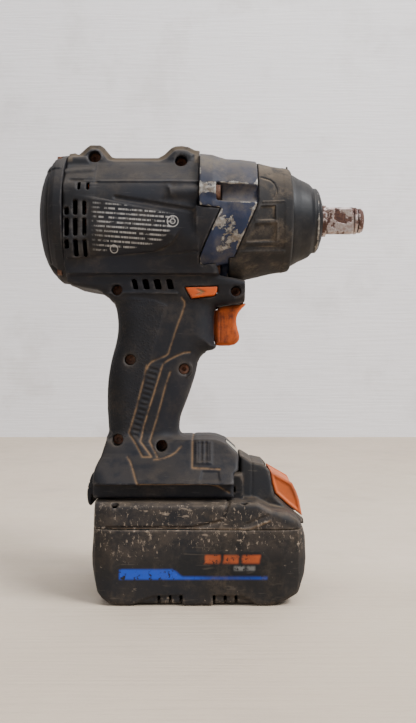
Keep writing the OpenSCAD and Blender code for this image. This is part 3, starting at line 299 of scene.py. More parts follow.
def make_mesh(name, points, quads, marks=None, smooth=True):
    """A Blender object from points in millimetres, with numbers painted on its points."""
    mesh = bpy.data.meshes.new(name)
    mesh.vertices.add(len(points))
    mesh.vertices.foreach_set("co", (np.asarray(points) * MM).astype("f4").ravel())
    size = quads.shape[1]
    mesh.loops.add(quads.size)
    mesh.loops.foreach_set("vertex_index", quads.astype("i4").ravel())
    mesh.polygons.add(len(quads))
    mesh.polygons.foreach_set("loop_start", np.arange(0, quads.size, size, dtype="i4"))
    mesh.update(calc_edges=True)
    mesh.polygons.foreach_set("use_smooth", np.full(len(quads), smooth))
    for key, values in (marks or {}).items():
        layer = mesh.attributes.new(key, "FLOAT", "POINT")
        layer.data.foreach_set("value", np.asarray(values, "f4"))
    piece = bpy.data.objects.new(name, mesh)
    bpy.context.scene.collection.objects.link(piece)
    return piece


def finish_piece(name, block, field, body, replaced, paint, mirror=False, masks=None):
    """Meshes a field, marks its edges and hollows, and hangs it on its CAD body."""
    points, quads, way = skin(block, field)
    marks = {key: sample_mask(block, mask, points) for key, mask in (masks or {}).items()}
    bend = bend_of(points, quads, way, 6) / block.step
    marks["edge"] = np.clip(bend * 9, 0, 1)
    marks["hollow"] = np.clip(-bend * 9, 0, 1)
    if mirror:
        points = points * [1, -1, 1]
        quads = quads[:, ::-1]
    piece = make_mesh(name, points, quads, marks)
    piece.data.materials.append(paint)
    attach(piece, body)
    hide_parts(*replaced)
    print(f"{name}: {len(points)} points, {len(quads)} faces")
    return piece


def sample_mask(block, mask, points):
    """A mask drawn on the X and Z axes, read at each point."""
    flat = np.broadcast_to(mask, (block.x.shape[0], 1, block.z.shape[2]))[:, 0, :]
    at = (points[:, [0, 2]] - block.low[[0, 2]]) / block.step
    low = np.clip(at.astype(int), 0, np.array(flat.shape) - 2)
    part = np.clip(at - low, 0, 1)
    near = flat[low[:, 0], low[:, 1]] * (1 - part[:, 0]) + flat[low[:, 0] + 1, low[:, 1]] * part[:, 0]
    far = flat[low[:, 0], low[:, 1] + 1] * (1 - part[:, 0])
    far = far + flat[low[:, 0] + 1, low[:, 1] + 1] * part[:, 0]
    return near * (1 - part[:, 1]) + far * part[:, 1]


print("mesher ready")

# %% [markdown]
# ## Finishes
# A tool that has lived in workshops shows four things on every plastic face: the
# moulded grain, paler scuffs where corners rub, tan dust that settles in hollows and
# on upward faces, and darker greasy patches. One small helper mixes them, and each
# material only chooses its colours and amounts.


# %% Shader helpers
def tone(r, g, b):
    """A colour picked on a 0 to 255 scale, as light."""
    return tuple(
        (c / 255 / 12.92 if c < 10 else ((c / 255 + 0.055) / 1.055) ** 2.4) for c in (r, g, b)
    ) + (1,)


class Paint:
    """Adds shader nodes to one material and joins them up."""

    def __init__(self, name):
        self.material = bpy.data.materials.new(name)
        self.material.use_nodes = True
        self.tree = self.material.node_tree
        self.shader = self.tree.nodes["Principled BSDF"]
        self.spot = self.put("ShaderNodeTexCoord").outputs["Object"]

    def put(self, kind, inputs=(), **settings):
        node = self.tree.nodes.new(kind)
        for key, value in settings.items():
            setattr(node, key, value)
        for key, value in dict(inputs).items():
            self.feed(node.inputs[key], value)
        return node

    def feed(self, socket, value):
        if isinstance(value, bpy.types.NodeSocket):
            self.tree.links.new(value, socket)
        else:
            socket.default_value = value

    def mark(self, name):
        return self.put("ShaderNodeAttribute", attribute_name=name).outputs["Fac"]

    def noise(self, size, detail=5, rough=0.6, stretch=None):
        """Cloudy noise whose blobs are about size millimetres across."""
        spot = self.spot
        if stretch:
            spot = self.put("ShaderNodeMapping", {"Vector": spot, "Scale": stretch}).outputs[0]
        return self.put(
            "ShaderNodeTexNoise",
            {"Vector": spot, "Scale": 500 / size, "Detail": detail, "Roughness": rough},
        ).outputs["Fac"]

    def cells(self, size, feature="F1"):
        return self.put(
            "ShaderNodeTexVoronoi", {"Vector": self.spot, "Scale": 1000 / size}, feature=feature
        ).outputs["Distance"]

    def span(self, value, low, high, out_low=0.0, out_high=1.0):
        """Stretches a value between two limits, smoothly and clamped."""
        return self.put(
            "ShaderNodeMapRange",
            {"Value": value, "From Min": low, "From Max": high, "To Min": out_low, "To Max": out_high},
            interpolation_type="SMOOTHSTEP",
        ).outputs["Result"]

    def sum(self, a, b, how="ADD", clamp=False):
        node = self.put("ShaderNodeMath", operation=how, use_clamp=clamp)
        self.feed(node.inputs[0], a)
        self.feed(node.inputs[1], b)
        return node.outputs[0]

    def times(self, a, b):
        return self.sum(a, b, "MULTIPLY")

    def mix(self, share, a, b):
        node = self.put("ShaderNodeMix", data_type="RGBA")
        self.feed(node.inputs["Factor"], share)
        self.feed(node.inputs["A"], a)
        self.feed(node.inputs["B"], b)
        return node.outputs["Result"]

    def facing_up(self):
        normal = self.put("ShaderNodeNewGeometry").outputs["Normal"]
        return self.put("ShaderNodeSeparateXYZ", {"Vector": normal}).outputs["Z"]

    def depth(self):
        """How high each point is, in millimetres."""
        z = self.put("ShaderNodeSeparateXYZ", {"Vector": self.spot}).outputs["Z"]
        return self.times(z, 1000)

    def done(self, colour, roughness, height=None, depth=0.0002, metal=None, **values):
        self.feed(self.shader.inputs["Base Color"], colour)
        self.feed(self.shader.inputs["Roughness"], roughness)
        if metal is not None:
            self.feed(self.shader.inputs["Metallic"], metal)
        if height is not None:
            bump = self.put("ShaderNodeBump", {"Height": height, "Strength": 0.8, "Distance": depth})
            self.feed(self.shader.inputs["Normal"], bump.outputs[0])
        for key, value in values.items():
            self.shader.inputs[key].default_value = value
        return self.material


DUST = tone(100, 86, 70)
GREASE = tone(14, 14, 16)


def worn_plastic(
    name, base, alt, dust=0.5, scuff=0.35, grain=0.5, rough=0.55, dust_colour=DUST, print_on=None, speck=0.0
):
    """Moulded plastic with grain, scuffed edges, dust in the hollows and greasy patches."""
    p = Paint(name)
    clouds, fine = p.noise(16, 4), p.noise(1.1, 6, 0.7)
    colour = p.mix(p.span(clouds, 0.35, 0.65), base, alt)
    if print_on:
        colour = print_on(p, colour)
    colour = p.mix(p.times(p.span(p.noise(30, 3), 0.5, 0.68), 0.55), colour, GREASE)
    patches = p.span(p.noise(7, 7, 0.68), 0.44, 0.7)
    film = p.times(p.times(patches, p.span(fine, 0.3, 0.6)), dust * 0.55)
    upward = p.times(p.span(p.facing_up(), 0.25, 0.95), dust * 0.75)
    upward = p.times(upward, p.span(p.noise(3.0, 6), 0.3, 0.55))
    packed = p.times(p.span(p.mark("hollow"), 0.12, 0.75), p.times(p.span(p.noise(5), 0.38, 0.6), dust))
    # Dust laid where this mark asks, round the lower screws and along the housing's top rim, where the paler
    # dust is partly a painted highlight.
    settled_dust_and_rim_highlight = p.times(p.mark("dust_and_rim_highlight"), p.span(p.noise(2.6, 7, 0.7), 0.3, 0.6, 0.35, 0.95))
    dirt = p.sum(p.sum(p.sum(film, upward), packed), settled_dust_and_rim_highlight, clamp=True)
    dirt = p.mix(p.mark("groove"), dirt, p.span(p.noise(2.2), 0.3, 0.56, 0.2, 1.0))
    colour = p.mix(dirt, colour, p.mix(p.mark("groove"), dust_colour, tone(128, 100, 72)))
    rub = p.times(p.span(p.mark("edge"), 0.15, 0.8), p.span(p.noise(2.4, 7, 0.7), 0.42, 0.62))
    lines = p.span(p.noise(1.4, 3, 0.5, (0.3, 1.0, 2.6)), 0.64, 0.72)
    rub = p.sum(p.times(rub, scuff), p.times(lines, scuff * 0.35), clamp=True)
    if speck:
        want = p.sum(p.times(p.mark("scuffed"), 0.09), p.times(p.mark("edge"), 0.04))
        specks = p.span(p.sum(p.noise(1.0, 8, 0.75, (1.4, 1.0, 0.7)), want), 0.66, 0.72)
        rub = p.sum(rub, p.times(specks, speck), clamp=True)
        nicks = p.span(p.sum(p.noise(2.1, 5, 0.6, (0.5, 1.0, 1.5)), p.times(want, 0.6)), 0.69, 0.73)
        rub = p.sum(rub, p.times(nicks, speck * 0.7), clamp=True)
        veil = p.times(p.times(p.mark("scuffed"), p.span(p.noise(5, 8, 0.75), 0.4, 0.62)), 0.5)
        colour = p.mix(veil, colour, tone(74, 65, 58))
    colour = p.mix(rub, colour, tone(140, 126, 112) if speck else tone(96, 92, 90))
    shine = p.sum(p.span(clouds, 0.3, 0.7, rough, rough + 0.16), p.times(dirt, 0.25), clamp=True)
    cells = p.times(p.span(p.cells(1.1), 0.1, 0.6, 1.0, 0.0), p.mark("pad"))
    height = p.sum(p.sum(p.times(fine, grain), p.times(dirt, 0.5)), p.times(cells, 0.9))
    return p.done(colour, shine, height, 0.00018, None, **{"Specular IOR Level": 0.26})


def label_print(p, colour):
    """Rows of worn pale bars, where the rating plate is printed on the barrel."""
    xyz = p.put("ShaderNodeSeparateXYZ", {"Vector": p.spot}).outputs
    x, z = p.times(xyz["X"], 1000), p.times(xyz["Z"], 1000)
    row = p.times(p.sum(z, p.times(x, 0.07)), 1 / 2.1)
    wave = p.sum(row, 0.0, "FRACT")
    bar = p.times(p.span(wave, 0.2, 0.28), p.span(wave, 0.6, 0.68, 1.0, 0.0))
    spot = p.put("ShaderNodeCombineXYZ", {"X": p.times(x, 0.55), "Y": p.times(p.sum(row, 0.0, "FLOOR"), 7.3)})
    words = p.put(
        "ShaderNodeTexNoise", {"Vector": spot.outputs[0], "Scale": 1.0, "Detail": 1.0},
    ).outputs["Fac"]
    small = p.put("ShaderNodeCombineXYZ", {"X": p.times(x, 2.6), "Y": p.times(p.sum(row, 0.0, "FLOOR"), 3.1)})
    ticks = p.put(
        "ShaderNodeTexNoise", {"Vector": small.outputs[0], "Scale": 1.0, "Detail": 0.0},
    ).outputs["Fac"]
    shown = p.times(p.times(bar, p.span(words, 0.36, 0.4)), p.span(ticks, 0.4, 0.46, 0.35, 1.0))
    shown = p.times(p.times(shown, p.mark("label")), p.span(p.noise(2, 6, 0.7), 0.36, 0.5))
    colour = p.mix(p.times(shown, 0.62), colour, tone(176, 174, 172))

    def distance(x0, z0):
        flat = p.put("ShaderNodeCombineXYZ", {"X": p.sum(x, -x0), "Y": p.sum(z, -z0)}).outputs[0]
        return p.put("ShaderNodeVectorMath", {"Vector": flat}, operation="LENGTH").outputs["Value"]

    rings = 0.0
    for x0, z0, r in ((-13.6, 174.4, 2.5), (-13.6, 174.4, 1.1), (-41.0, 162.2, 1.7)):
        gap = p.sum(p.sum(distance(x0, z0), -r), 0.0, "ABSOLUTE")
        rings = p.sum(rings, p.span(gap, 0.12, 0.3, 1.0, 0.0), clamp=True)
    rings = p.times(rings, p.mark("plate"))
    return p.mix(p.times(rings, 0.7), colour, tone(176, 174, 172))


def finger_wear(p, colour):
    """Dark handled patches on the sides of the trigger."""
    side = p.put(
        "ShaderNodeSeparateXYZ", {"Vector": p.put("ShaderNodeNewGeometry").outputs["Normal"]},
    ).outputs["Y"]
    side = p.span(p.sum(side, 0.0, "ABSOLUTE"), 0.5, 0.95)
    worn = p.times(side, p.span(p.noise(4, 7, 0.65), 0.34, 0.6, 0.25, 1.0))
    streak = p.span(p.noise(1.2, 4, 0.6, (2.4, 1.0, 0.5)), 0.45, 0.62)
    return p.mix(p.times(worn, p.sum(0.6, p.times(streak, 0.4))), colour, tone(78, 34, 20))


def stripe_print(p, colour):
    """The battery's dark printed field, its blue stripe and plain bars, all scratched."""
    worn = p.span(p.noise(1.5, 7, 0.7), 0.36, 0.44)
    colour = p.mix(p.times(p.mark("decal"), 0.85), colour, tone(22, 23, 26))
    colour = p.mix(p.times(p.times(p.mark("bars"), worn), 0.9), colour, tone(196, 92, 44))
    colour = p.mix(p.times(p.times(p.mark("small_bars"), worn), 0.7), colour, tone(150, 148, 144))
    return p.mix(p.times(p.mark("stripe"), worn), colour, tone(24, 70, 176))


def bare_metal(name, base, alt, rough=0.35, rust=0.0, rust_colour=tone(96, 60, 42)):
    """Machined or pressed metal with fine scratches, and rust where it is wanted."""
    p = Paint(name)
    clouds, fine = p.noise(5, 6), p.noise(0.5, 5, 0.7)
    colour = p.mix(p.span(clouds, 0.35, 0.65), base, alt)
    red = p.times(p.span(p.noise(3.2, 8, 0.7), 0.62 - 0.3 * rust, 0.72 - 0.22 * rust), min(1, rust * 1.4))
    colour = p.mix(red, colour, p.mix(p.span(fine, 0.4, 0.6), rust_colour, tone(60, 42, 34)))
    shine = p.sum(p.span(clouds, 0.3, 0.7, rough, rough + 0.2), p.times(red, 0.4), clamp=True)
    metal = p.span(red, 0.2, 0.8, 1.0, 0.25)
    return p.done(colour, shine, p.sum(p.times(fine, 0.6), p.times(red, 0.8)), 0.00012, metal)


print("shader helpers ready")

# %% [markdown]
# ## The paints for each piece
# One finish for each thing the tool is made of. The inner pieces get theirs too, because
# they show through the vents, in the gaps, and when the battery is off.

# %% Paints
NAVY, CHARCOAL = tone(17, 20, 29), tone(23, 23, 28)
housing_paint = worn_plastic(
    "housing plastic", NAVY, CHARCOAL, 0.4, 0.3, dust_colour=tone(84, 74, 63), print_on=label_print
)
battery_paint = worn_plastic(
    "battery plastic", tone(24, 25, 30), tone(33, 31, 31), 0.5, 0.3, print_on=stripe_print, speck=0.8
)
trigger_paint = worn_plastic(
    "trigger plastic", tone(186, 84, 22), tone(132, 58, 22), 0.45, 0.3, print_on=finger_wear,
)
button_paint = worn_plastic("button plastic", tone(232, 98, 22), tone(214, 88, 22), 0.2, 0.3)
latch_paint = worn_plastic("latch plastic", tone(206, 100, 48), tone(184, 84, 40), 0.3, 0.35)
rubber_paint = worn_plastic(
    "boot rubber", tone(46, 43, 42), tone(34, 34, 36), 0.9, 0.2, 0.9, 0.72, tone(108, 96, 82)
)
pale_plastic = worn_plastic("pale plastic", tone(196, 190, 176), tone(182, 176, 160), 0.3, 0.1)
steel_paint = bare_metal("steel", tone(150, 148, 146), tone(118, 116, 114), 0.3, 0.25)
rusty_paint = bare_metal("rusty steel", tone(120, 96, 84), tone(88, 66, 56), 0.5, 0.9)
bronze_paint = bare_metal("bronze", tone(170, 126, 70), tone(140, 100, 54), 0.35)
lamination_paint = bare_metal("electrical steel", tone(120, 118, 118), tone(92, 90, 90), 0.45, 0.2)
magnet_paint = bare_metal("magnet", tone(74, 74, 78), tone(60, 60, 62), 0.5)
copper_paint = bare_metal("enamelled copper", tone(176, 88, 46), tone(140, 66, 36), 0.3)
brass_paint = bare_metal("brass", tone(186, 156, 90), tone(160, 130, 70), 0.3)
nickel_paint = bare_metal("nickel", tone(178, 176, 168), tone(150, 148, 142), 0.28)
cell_paint = worn_plastic("cell wrap", tone(38, 96, 120), tone(34, 86, 110), 0.1, 0.1, 0.1, 0.35)
red_paint = worn_plastic("red insulator", tone(150, 40, 32), tone(120, 32, 28), 0.3, 0.1)
board_paint = worn_plastic("circuit board", tone(28, 74, 48), tone(24, 62, 42), 0.2, 0.1, 0.1, 0.35)


def pitted_steel(name):
    """The square drive: bright steel under blotches of dark rust and pink-grey bruises."""
    p = Paint(name)
    blotch, fine = p.noise(3.4, 7, 0.62), p.noise(0.6, 6, 0.7)
    colour = p.mix(p.span(fine, 0.35, 0.62), tone(150, 130, 126), tone(176, 166, 162))
    dark = p.span(p.sum(blotch, p.times(fine, 0.12)), 0.55, 0.6)
    colour = p.mix(dark, colour, p.mix(p.span(fine, 0.4, 0.6), tone(60, 38, 34), tone(92, 62, 52)))
    grime = p.times(p.span(p.mark("hollow"), 0.1, 0.6), 0.8)
    colour = p.mix(grime, colour, tone(58, 46, 38))
    shine = p.sum(p.span(fine, 0.3, 0.7, 0.3, 0.5), p.times(dark, 0.3), clamp=True)
    height = p.sum(p.times(fine, 0.5), p.times(dark, -0.8))
    return p.done(colour, shine, height, 0.00025, p.span(dark, 0.1, 0.9, 0.85, 0.3))


anvil_paint = pitted_steel("pitted square drive")
sink_paint = bare_metal("cast aluminium", tone(168, 168, 170), tone(140, 140, 142), 0.4)

BY_SLOT = {
    "housing_plastic": housing_paint, "battery_plastic": battery_paint, "rubber": rubber_paint,
    "steel": steel_paint, "bronze": bronze_paint, "electrical_steel": lamination_paint,
    "magnet": magnet_paint, "copper": copper_paint, "red_plastic": red_paint,
    "orange_plastic": trigger_paint, "circuit_board": board_paint, "clear_plastic": pale_plastic,
    "brass": brass_paint, "cell": cell_paint, "pale_plastic": pale_plastic,
    "nickel": nickel_paint, "cast_aluminium": sink_paint,
}
slot_of = {entry["node"]: entry["material_slot"] for entry in frame["record"]["subparts"]}
for name, piece in nodes.items():
    piece.data.materials.clear()
    piece.data.materials.append(BY_SLOT[slot_of[name]])
for name in ("housing_screws", "case_screws", "cap_screws"):
    nodes[name].data.materials[0] = rusty_paint
for name in ("anvil", "friction_ring"):
    nodes[name].data.materials[0] = anvil_paint
print(len(nodes), "frame pieces painted")

# %% [markdown]
# ## The clam-shell housing
# Barrel, grip and foot are one moulding, split down the middle into two halves. I carve
# the right half and mirror it for the left. The barrel is turned, the grip and foot
# are flat outlines with generous rounding, and fillets melt them together.

# %% Outlines of the housing
GRIP = soften([
    (-44, 160), (-44.5, 141), (-42.4, 138.5), (-41.2, 135), (-40.5, 129.1), (-40.6, 124.8),
    (-41.2, 120.2), (-42.4, 115.7), (-43.7, 111), (-44.9, 104.8), (-45.6, 98.8), (-45.8, 89.7),
    (-45.5, 80.7), (-45.4, 73.3), (-45.7, 69.4), (-47.5, 65.4), (-48.5, 60), (-48, 56), (-8, 56),
    (-10, 66), (-11.8, 74), (-11.7, 78.4), (-11.2, 82.5), (-9.4, 87.3), (-7.3, 92.7), (-5.2, 98.8),
    (-3.4, 104.7), (-2.2, 111), (1, 114.7), (6.1, 115.6), (7.4, 117.6), (5.8, 119.2),
    (5.8, 135.4), (8.6, 138), (8.6, 160),
], 1)
NECK = [
    (-64.4, 162), (-64.4, 147.7), (-61, 146.1), (-55.7, 145), (-50, 144), (-46.6, 142.4),
    (-43, 139.3), (8.6, 137.6), (15.9, 137.6), (22.2, 139.1), (23.7, 139.7), (24.8, 141.2),
    (27.8, 147.3), (22, 148.1), (14, 149.9), (8, 150.9), (5, 162),
]
FOOT = [
    (-45.4, 73), (-47.5, 65.4), (-49.6, 61.4), (-51.4, 56.5), (-51.4, 46.7), (14.5, 46.7),
    (14.5, 58.2), (16.6, 60.1), (16.9, 66), (11.5, 71.1), (8, 72.6), (6, 73.2),
]
SPINE = [
    (-64.4, 200), (-64.4, 210.6), (-61.6, 211.1), (-60.1, 210), (-58.6, 211.4), (-56.5, 213.4),
    (-54.5, 214.9), (-49.5, 214.9), (-47.7, 213.7), (-43.9, 209.1), (-42.5, 208.7), (-21.5, 208.7),
    (-18.6, 210.3), (-15.2, 213.5), (-13.2, 214.4), (-10, 214.6), (-6.7, 214), (-3.8, 212.5),
    (-1.4, 212.2), (-1.4, 200),
]
EAR = [(-3, 181.2), (8.1, 180), (4.6, 172.5), (-1.3, 159.4), (-3, 159.4)]
SCREWS = [
    (-51.8, 208.1, 2.6, 9.5), (-10.3, 205.8, 2.6, 9.5), (-40.6, 143.9, 2.2, 14), (15.9, 143.4, 2.2, 12),
    (-34.4, 110.8, 2.3, 15.5), (-8.8, 106.4, 2.3, 15.5), (-40.1, 72.9, 2.3, 15.5), (-19.2, 70.3, 2.3, 15.5),
]
half = Block((-65, -37, 46), (20, 1, 216), 0.5)
X, Y, Z = half.x, half.y, half.z
side = np.abs(Y)

# %% The plain body of the housing
barrel = turned(half, [
    (-64.5, -9), (-64.5, 31.4), (-59.5, 31.4), (-56, 30.6), (-49, 29.2), (-45, 29), (-18.3, 29),
    (-12.3, 30.2), (-5.3, 32), (-1.3, 32.4), (-1.3, -9),
])
facet = (side + (Z - AXIS)) * 0.7071 - 28.0
flank = side - 29.3
rounded = both(both(barrel, np.where(X < -50, facet - 0.8, facet), 1.2), flank, 1.5)
spine = extrude(outline(X, Z, SPINE), side, 9.3, 1.3)
spine = join(spine, extrude(outline(X, Z, SPINE) + 2.6, side, 13, 2.5), 2.0)
neck_half = np.interp(
    Z, [137, 141.5, 146.5, 150.3, 151.5, 158], [14.5, 17, 18.6, 19, 21.5, 22.5],
).astype("f4")
neck = extrude(outline(X, Z, NECK), side, neck_half, 2.5)
grip = extrude(outline(X, Z, GRIP), side, 17.2, 10.5)
foot_half = np.interp(
    Z, [46, 53.2, 53.7, 54.3, 58.6, 67, 73, 76], [27.3, 27.3, 33.3, 33.5, 30, 23.2, 19.8, 17.6],
)
foot = extrude(outline(X, Z, FOOT), side, foot_half.astype("f4"), 1.6)
corner = outline(X[:, :, 0], Y[:, :, 0], [(-52, -28), (-44, -36), (20, -36), (20, 3), (-52, 3)])[:, :, None]
foot = both(foot, corner, 4)
body = join(join(rounded, spine, 1.2), neck, 2.5)
body = join(body, join(grip, foot, 4.5), 3.5)
inner_barrel = turned(half, [(-70, -9), (-70, 26.4), (5, 26.4), (5, -9)])
room = join(join(neck + 2.3, grip + 2.3), both(foot + 2.3, 57 - Z))
front_wall = X + np.where(Z > 150, 1.5, -58.5)
room = join(join(both(room, front_wall), inner_barrel), grip + 2.4)
print("housing body carved on", body.shape)

# %% [markdown]
# ## Panels, grooves and vents
# The side of the barrel carries a flat panel with the vent slots, and the grip has a
# rubbery pad and a ribbed strip. These are shallow steps: the surface is moved out or
# in by a fraction of a millimetre wherever a flat drawing of the panel says so.

# %% Surface detail on the housing
PANEL = [
    (-63.8, 188.1), (-39.5, 183.5), (-6, 176.8), (-10.8, 169.7), (-14.5, 164.6), (-22.8, 161.3), (-63, 157.7),
]
PAD = soften([
    (-38.5, 141), (-16.3, 138.1), (-18.7, 131.8), (-20.6, 125), (-22, 120.1), (-24.7, 110.5),
    (-27.2, 104), (-31, 88), (-34.4, 76), (-40, 72), (-47, 80), (-47, 120), (-44, 136),
], 1)
STRIP = [
    (-26.4, 108.2), (-27.9, 101.2), (-31.4, 87.7), (-34.8, 76.2), (-30.8, 70.4), (-27.9, 65.6),
    (-23.6, 65.6), (-29.2, 72.4), (-27.9, 79.1), (-21, 101.5), (-18.7, 108.9),
]
THIRD = [(-15.3, 105), (-17.3, 99.2), (-21.3, 84), (-23.6, 76.8), (-24.8, 72.4), (-21, 65.6)]
COLLAR = [(-10, 70.3), (-13.3, 66.7), (-19.2, 64.7), (-22.5, 64.4)]
GROOVE_1 = [
    (-10, 140.3), (-8.1, 137.8), (-9.4, 133.5), (-12.2, 126.3), (-15.7, 115.2), (-16.5, 113),
    (-21.4, 111.1), (-25, 109.4), (-26.3, 106.4),
]
GROOVE_2 = [(-6, 114.4), (-9.2, 114.1), (-14.9, 111.4), (-18.4, 109.2), (-19.8, 106.2)]
SEAM = [(-35, 65.7), (-33.4, 63.5), (-32, 60.2), (-30.3, 55.7), (-28.9, 52.9)]
FRAME = [(-3.4, 62.5), (4.5, 62.5), (4.5, 73.2), (-3.4, 73.2)]
SCOOP = [(-14.5, 192), (-16, 186.5), (-19, 184.3), (-3, 181.8), (0, 181.8), (0, 192)]

panel = outline(X, Z, PANEL)
lift = both(extrude(panel, side, 29.35, 0.8), rounded - 1.5, 0.4)
body = join(body, lift, 0.3)
screw_lumps = 99.0
for out, up in ((27.0, 8.2), (13.7, -24.7)):
    screw_lumps = np.minimum(screw_lumps, rod(half, "x", (-out, AXIS + up), 3.0, -15.5, -1.5))
for up in (25.9, -25.9):
    screw_lumps = np.minimum(screw_lumps, rod(half, "x", (-13.75, AXIS + up), 2.4, -64, -54.2))
body = join(body, screw_lumps, 2.0)
body = body + 0.9 * line(X, Z, [(-40, 185.6), (-22, 182.6), (-4, 179.4)], 2.2)
body = body + 0.7 * step_in(outline(X, Z, SCOOP), 2.5)
body = body - 0.6 * line(X, Z, [(-55, 193.6), (-30, 193.8), (-1, 193.4)], 1.2)
body = body + 0.5 * line(X, Z, [(-50, 150.9), (-1, 150.6)], 1.0)
body = body + 0.7 * line(X, Z, [(-61, 193.9), (-49, 193.4)], 2.0)
body = body - 0.6 * line(X, Z, [(-66, 199.2), (-52, 200.4)], 3.0)
body = body - 0.7 * line(X, Z, [(-50, 141.8), (-33, 142.6), (-12, 142.2)], 1.3)
body = body + 0.5 * line(X, Z, [(-20.4, 159.6), (-1.3, 161)], 1.2)
body = body - 0.45 * step_in(outline(X, Z, PAD), 1.2) - 0.4 * step_in(outline(X, Z, STRIP), 0.9)
grooves = join(
    join(outline(X, Z, soften(GROOVE_1, 1, False), False), outline(X, Z, soften(GROOVE_2, 1, False), False)),
    join(outline(X, Z, THIRD, False), outline(X, Z, soften(COLLAR, 1, False), False)),
)
grooves = join(grooves, join(outline(X, Z, SEAM, False), outline(X, Z, STRIP, False)))
grooves = join(grooves, outline(X, Z, [(-28.5, 53.9), (2, 53.7), (7, 52.6), (12.5, 49.4)], False))
grooves = join(grooves, outline(X, Z, [(-4.7, 73), (-4.7, 61), (8, 60.4)], False))
body = body + 0.5 * np.clip(1.25 - grooves / 0.5, 0, 1)
ribs = np.clip(np.cos((Z + 0.27 * X) * 2 * math.pi / 2.6) * 1.5, -1, 1)
body = body - 0.22 * ribs * step_in(outline(X, Z, STRIP) + 1.2, 0.8)
frame_edge = np.abs(outline(X, Z, FRAME) + 0.6) - 0.55
body = body - 0.7 * step_in(frame_edge, 0.6)
for rib_x in (-1.6, 0.5, 2.6):
    rib = [(rib_x - 0.45, 63), (rib_x + 0.45, 63), (rib_x + 0.45, 73), (rib_x - 0.45, 73)]
    body = body - 0.6 * step_in(outline(X, Z, rib), 0.6)
body = body + 0.9 * step_in(outline(X, Z, [(-1, 55.4), (8, 55.4), (7.4, 59.6), (0, 59.6)]), 1.2)
print("panels and grooves pressed in")

# %% Openings in the housing
body = cut(body, room)
bosses = 99.0
for x, z, r, out in SCREWS:
    big = 6.4 if z > 207 else (7.0 if z > 200 else 4.2)
    bosses = np.minimum(bosses, rod(half, "y", (x, z), big, -out + 0.5, 3))
body = join(body, both(bosses, inner_barrel * -1))
columns = [(-63.5, -61.4, 181), (-59.5, -57.4, 184.4), (-55.2, -53.4, 183.8)]
for left, right, top in columns:
    for low, high in ((177.4, top), (167.8, 176), (158.9 if left > -60 else 162.1, 166.3)):
        body = cut(body, brick(half, (left, -40, low), (right, -18, high), 0.7), 0.25)
for left in (-57.6, -53.6):
    body = cut(body, brick(half, (left, -40, 189), (left + 1.3, -18, 192.6), 0.4), 0.2)
lean = 0.22 * (Z - 146.5)
for low, high in ((-33, -30.8), (-28, -25.4), (-22.7, -19.7), (-16.7, -14)):
    slot = both(np.abs(X + lean - (low + high) / 2) - (high - low) / 2, np.abs(Z - 146.5) - 2.4, 0.5)
    body = cut(body, both(slot, 12 - side), 0.3)
for x, z, r, out in SCREWS:
    body = cut(body, rod(half, "y", (x, z), r + 0.3, -40, 3 - out), 0.5)
    body = cut(body, rod(half, "y", (x, z), 1.6, -40, 2))
web = brick(half, (-35, -1, 143.6), (-12, 2, 150.4), 0.2)
body = join(body, web)
case_space = turned(half, [
    (-1.5, -9), (-1.5, 32.8), (4.8, 32.2), (7.8, 31.2), (11.4, 30.2),
    (18.4, 29.9), (26.6, 29), (60, 26), (60, -9),
])
ear_ring = turned(half, [(-3.5, 27.9), (-3.5, 31.6), (4.5, 31.4), (9, 30.8), (9, 27.9)])
ear = both(extrude(outline(X, Z, EAR), side, 34, 0.4), ear_ring)
body = cut(body, case_space, 0.3)
body = cut(body, turned(half, [(-13.2, -9), (-13.2, 25.8), (30, 25.8), (30, -9)]))
body = join(body, ear, 0.4)
body = cut(body, brick(half, (-48.4, -24.4, 44), (30, 9, 57.8)))
rail = brick(half, (-48.6, -24.6, 49.4), (14.5, -21.4, 51.2), 0.2)
body = join(body, rail)
body = cut(body, brick(half, (3.9, -7, 57), (30, 9, 60.6)))
body = cut(body, brick(half, (-3, -9.3, 114.9), (12, 9, 137.4), 1.0), 0.4)
TRIGGER = soften([
    (8.6, 136.9), (6.4, 134.5), (5.9, 130.8), (5.7, 124.7), (5.9, 118.7), (6.7, 117.8), (15.1, 117.9),
    (17.6, 119.9), (18, 122.5), (17.1, 125.5), (16.4, 128.5), (16.4, 131), (17.1, 133.3), (19.1, 136.1),
    (21.8, 138.7), (15.9, 137.4),
], 1)
for back in (0, 1.4, 2.8, 4.2, 5.5):
    body = cut(body, extrude(outline(X + back, Z, TRIGGER) - 0.4, side, 9.3, 0.3))
body = cut(body, brick(half, (-7.2, -7.9, 119.9), (9, 7.9, 135.5)))
BUTTON = [(-8.1, 145), (7, 145.4), (6.8, 143), (5.6, 141.3), (-5.2, 139.9)]
LENS = [(11.6, 70.8), (16.9, 66.2), (16.9, 60), (11.7, 62.4)]
body = cut(body, outline(X, Z, BUTTON) - 0.4, 0.3)
body = cut(body, extrude(outline(X, Z, LENS) - 0.35, side, 7.4, 0.2))
body = cut(body, brick(half, (-60, -15.3, 40), (-48, 9, 57.9)))
body = both(body, Y)
print("openings cut")

# %% Mesh the two halves
groove_mask = np.clip(1.15 - grooves / 0.55, 0, 1)
pad_mask = step_in(outline(X, Z, PAD), 0.8)
label_box = step_in(
    outline(X, Z, [(-50.5, 184.5), (-12.5, 177.4), (-14.8, 170.4), (-19, 166), (-27, 163.2), (-50.5, 161)]),
    0.5,
)
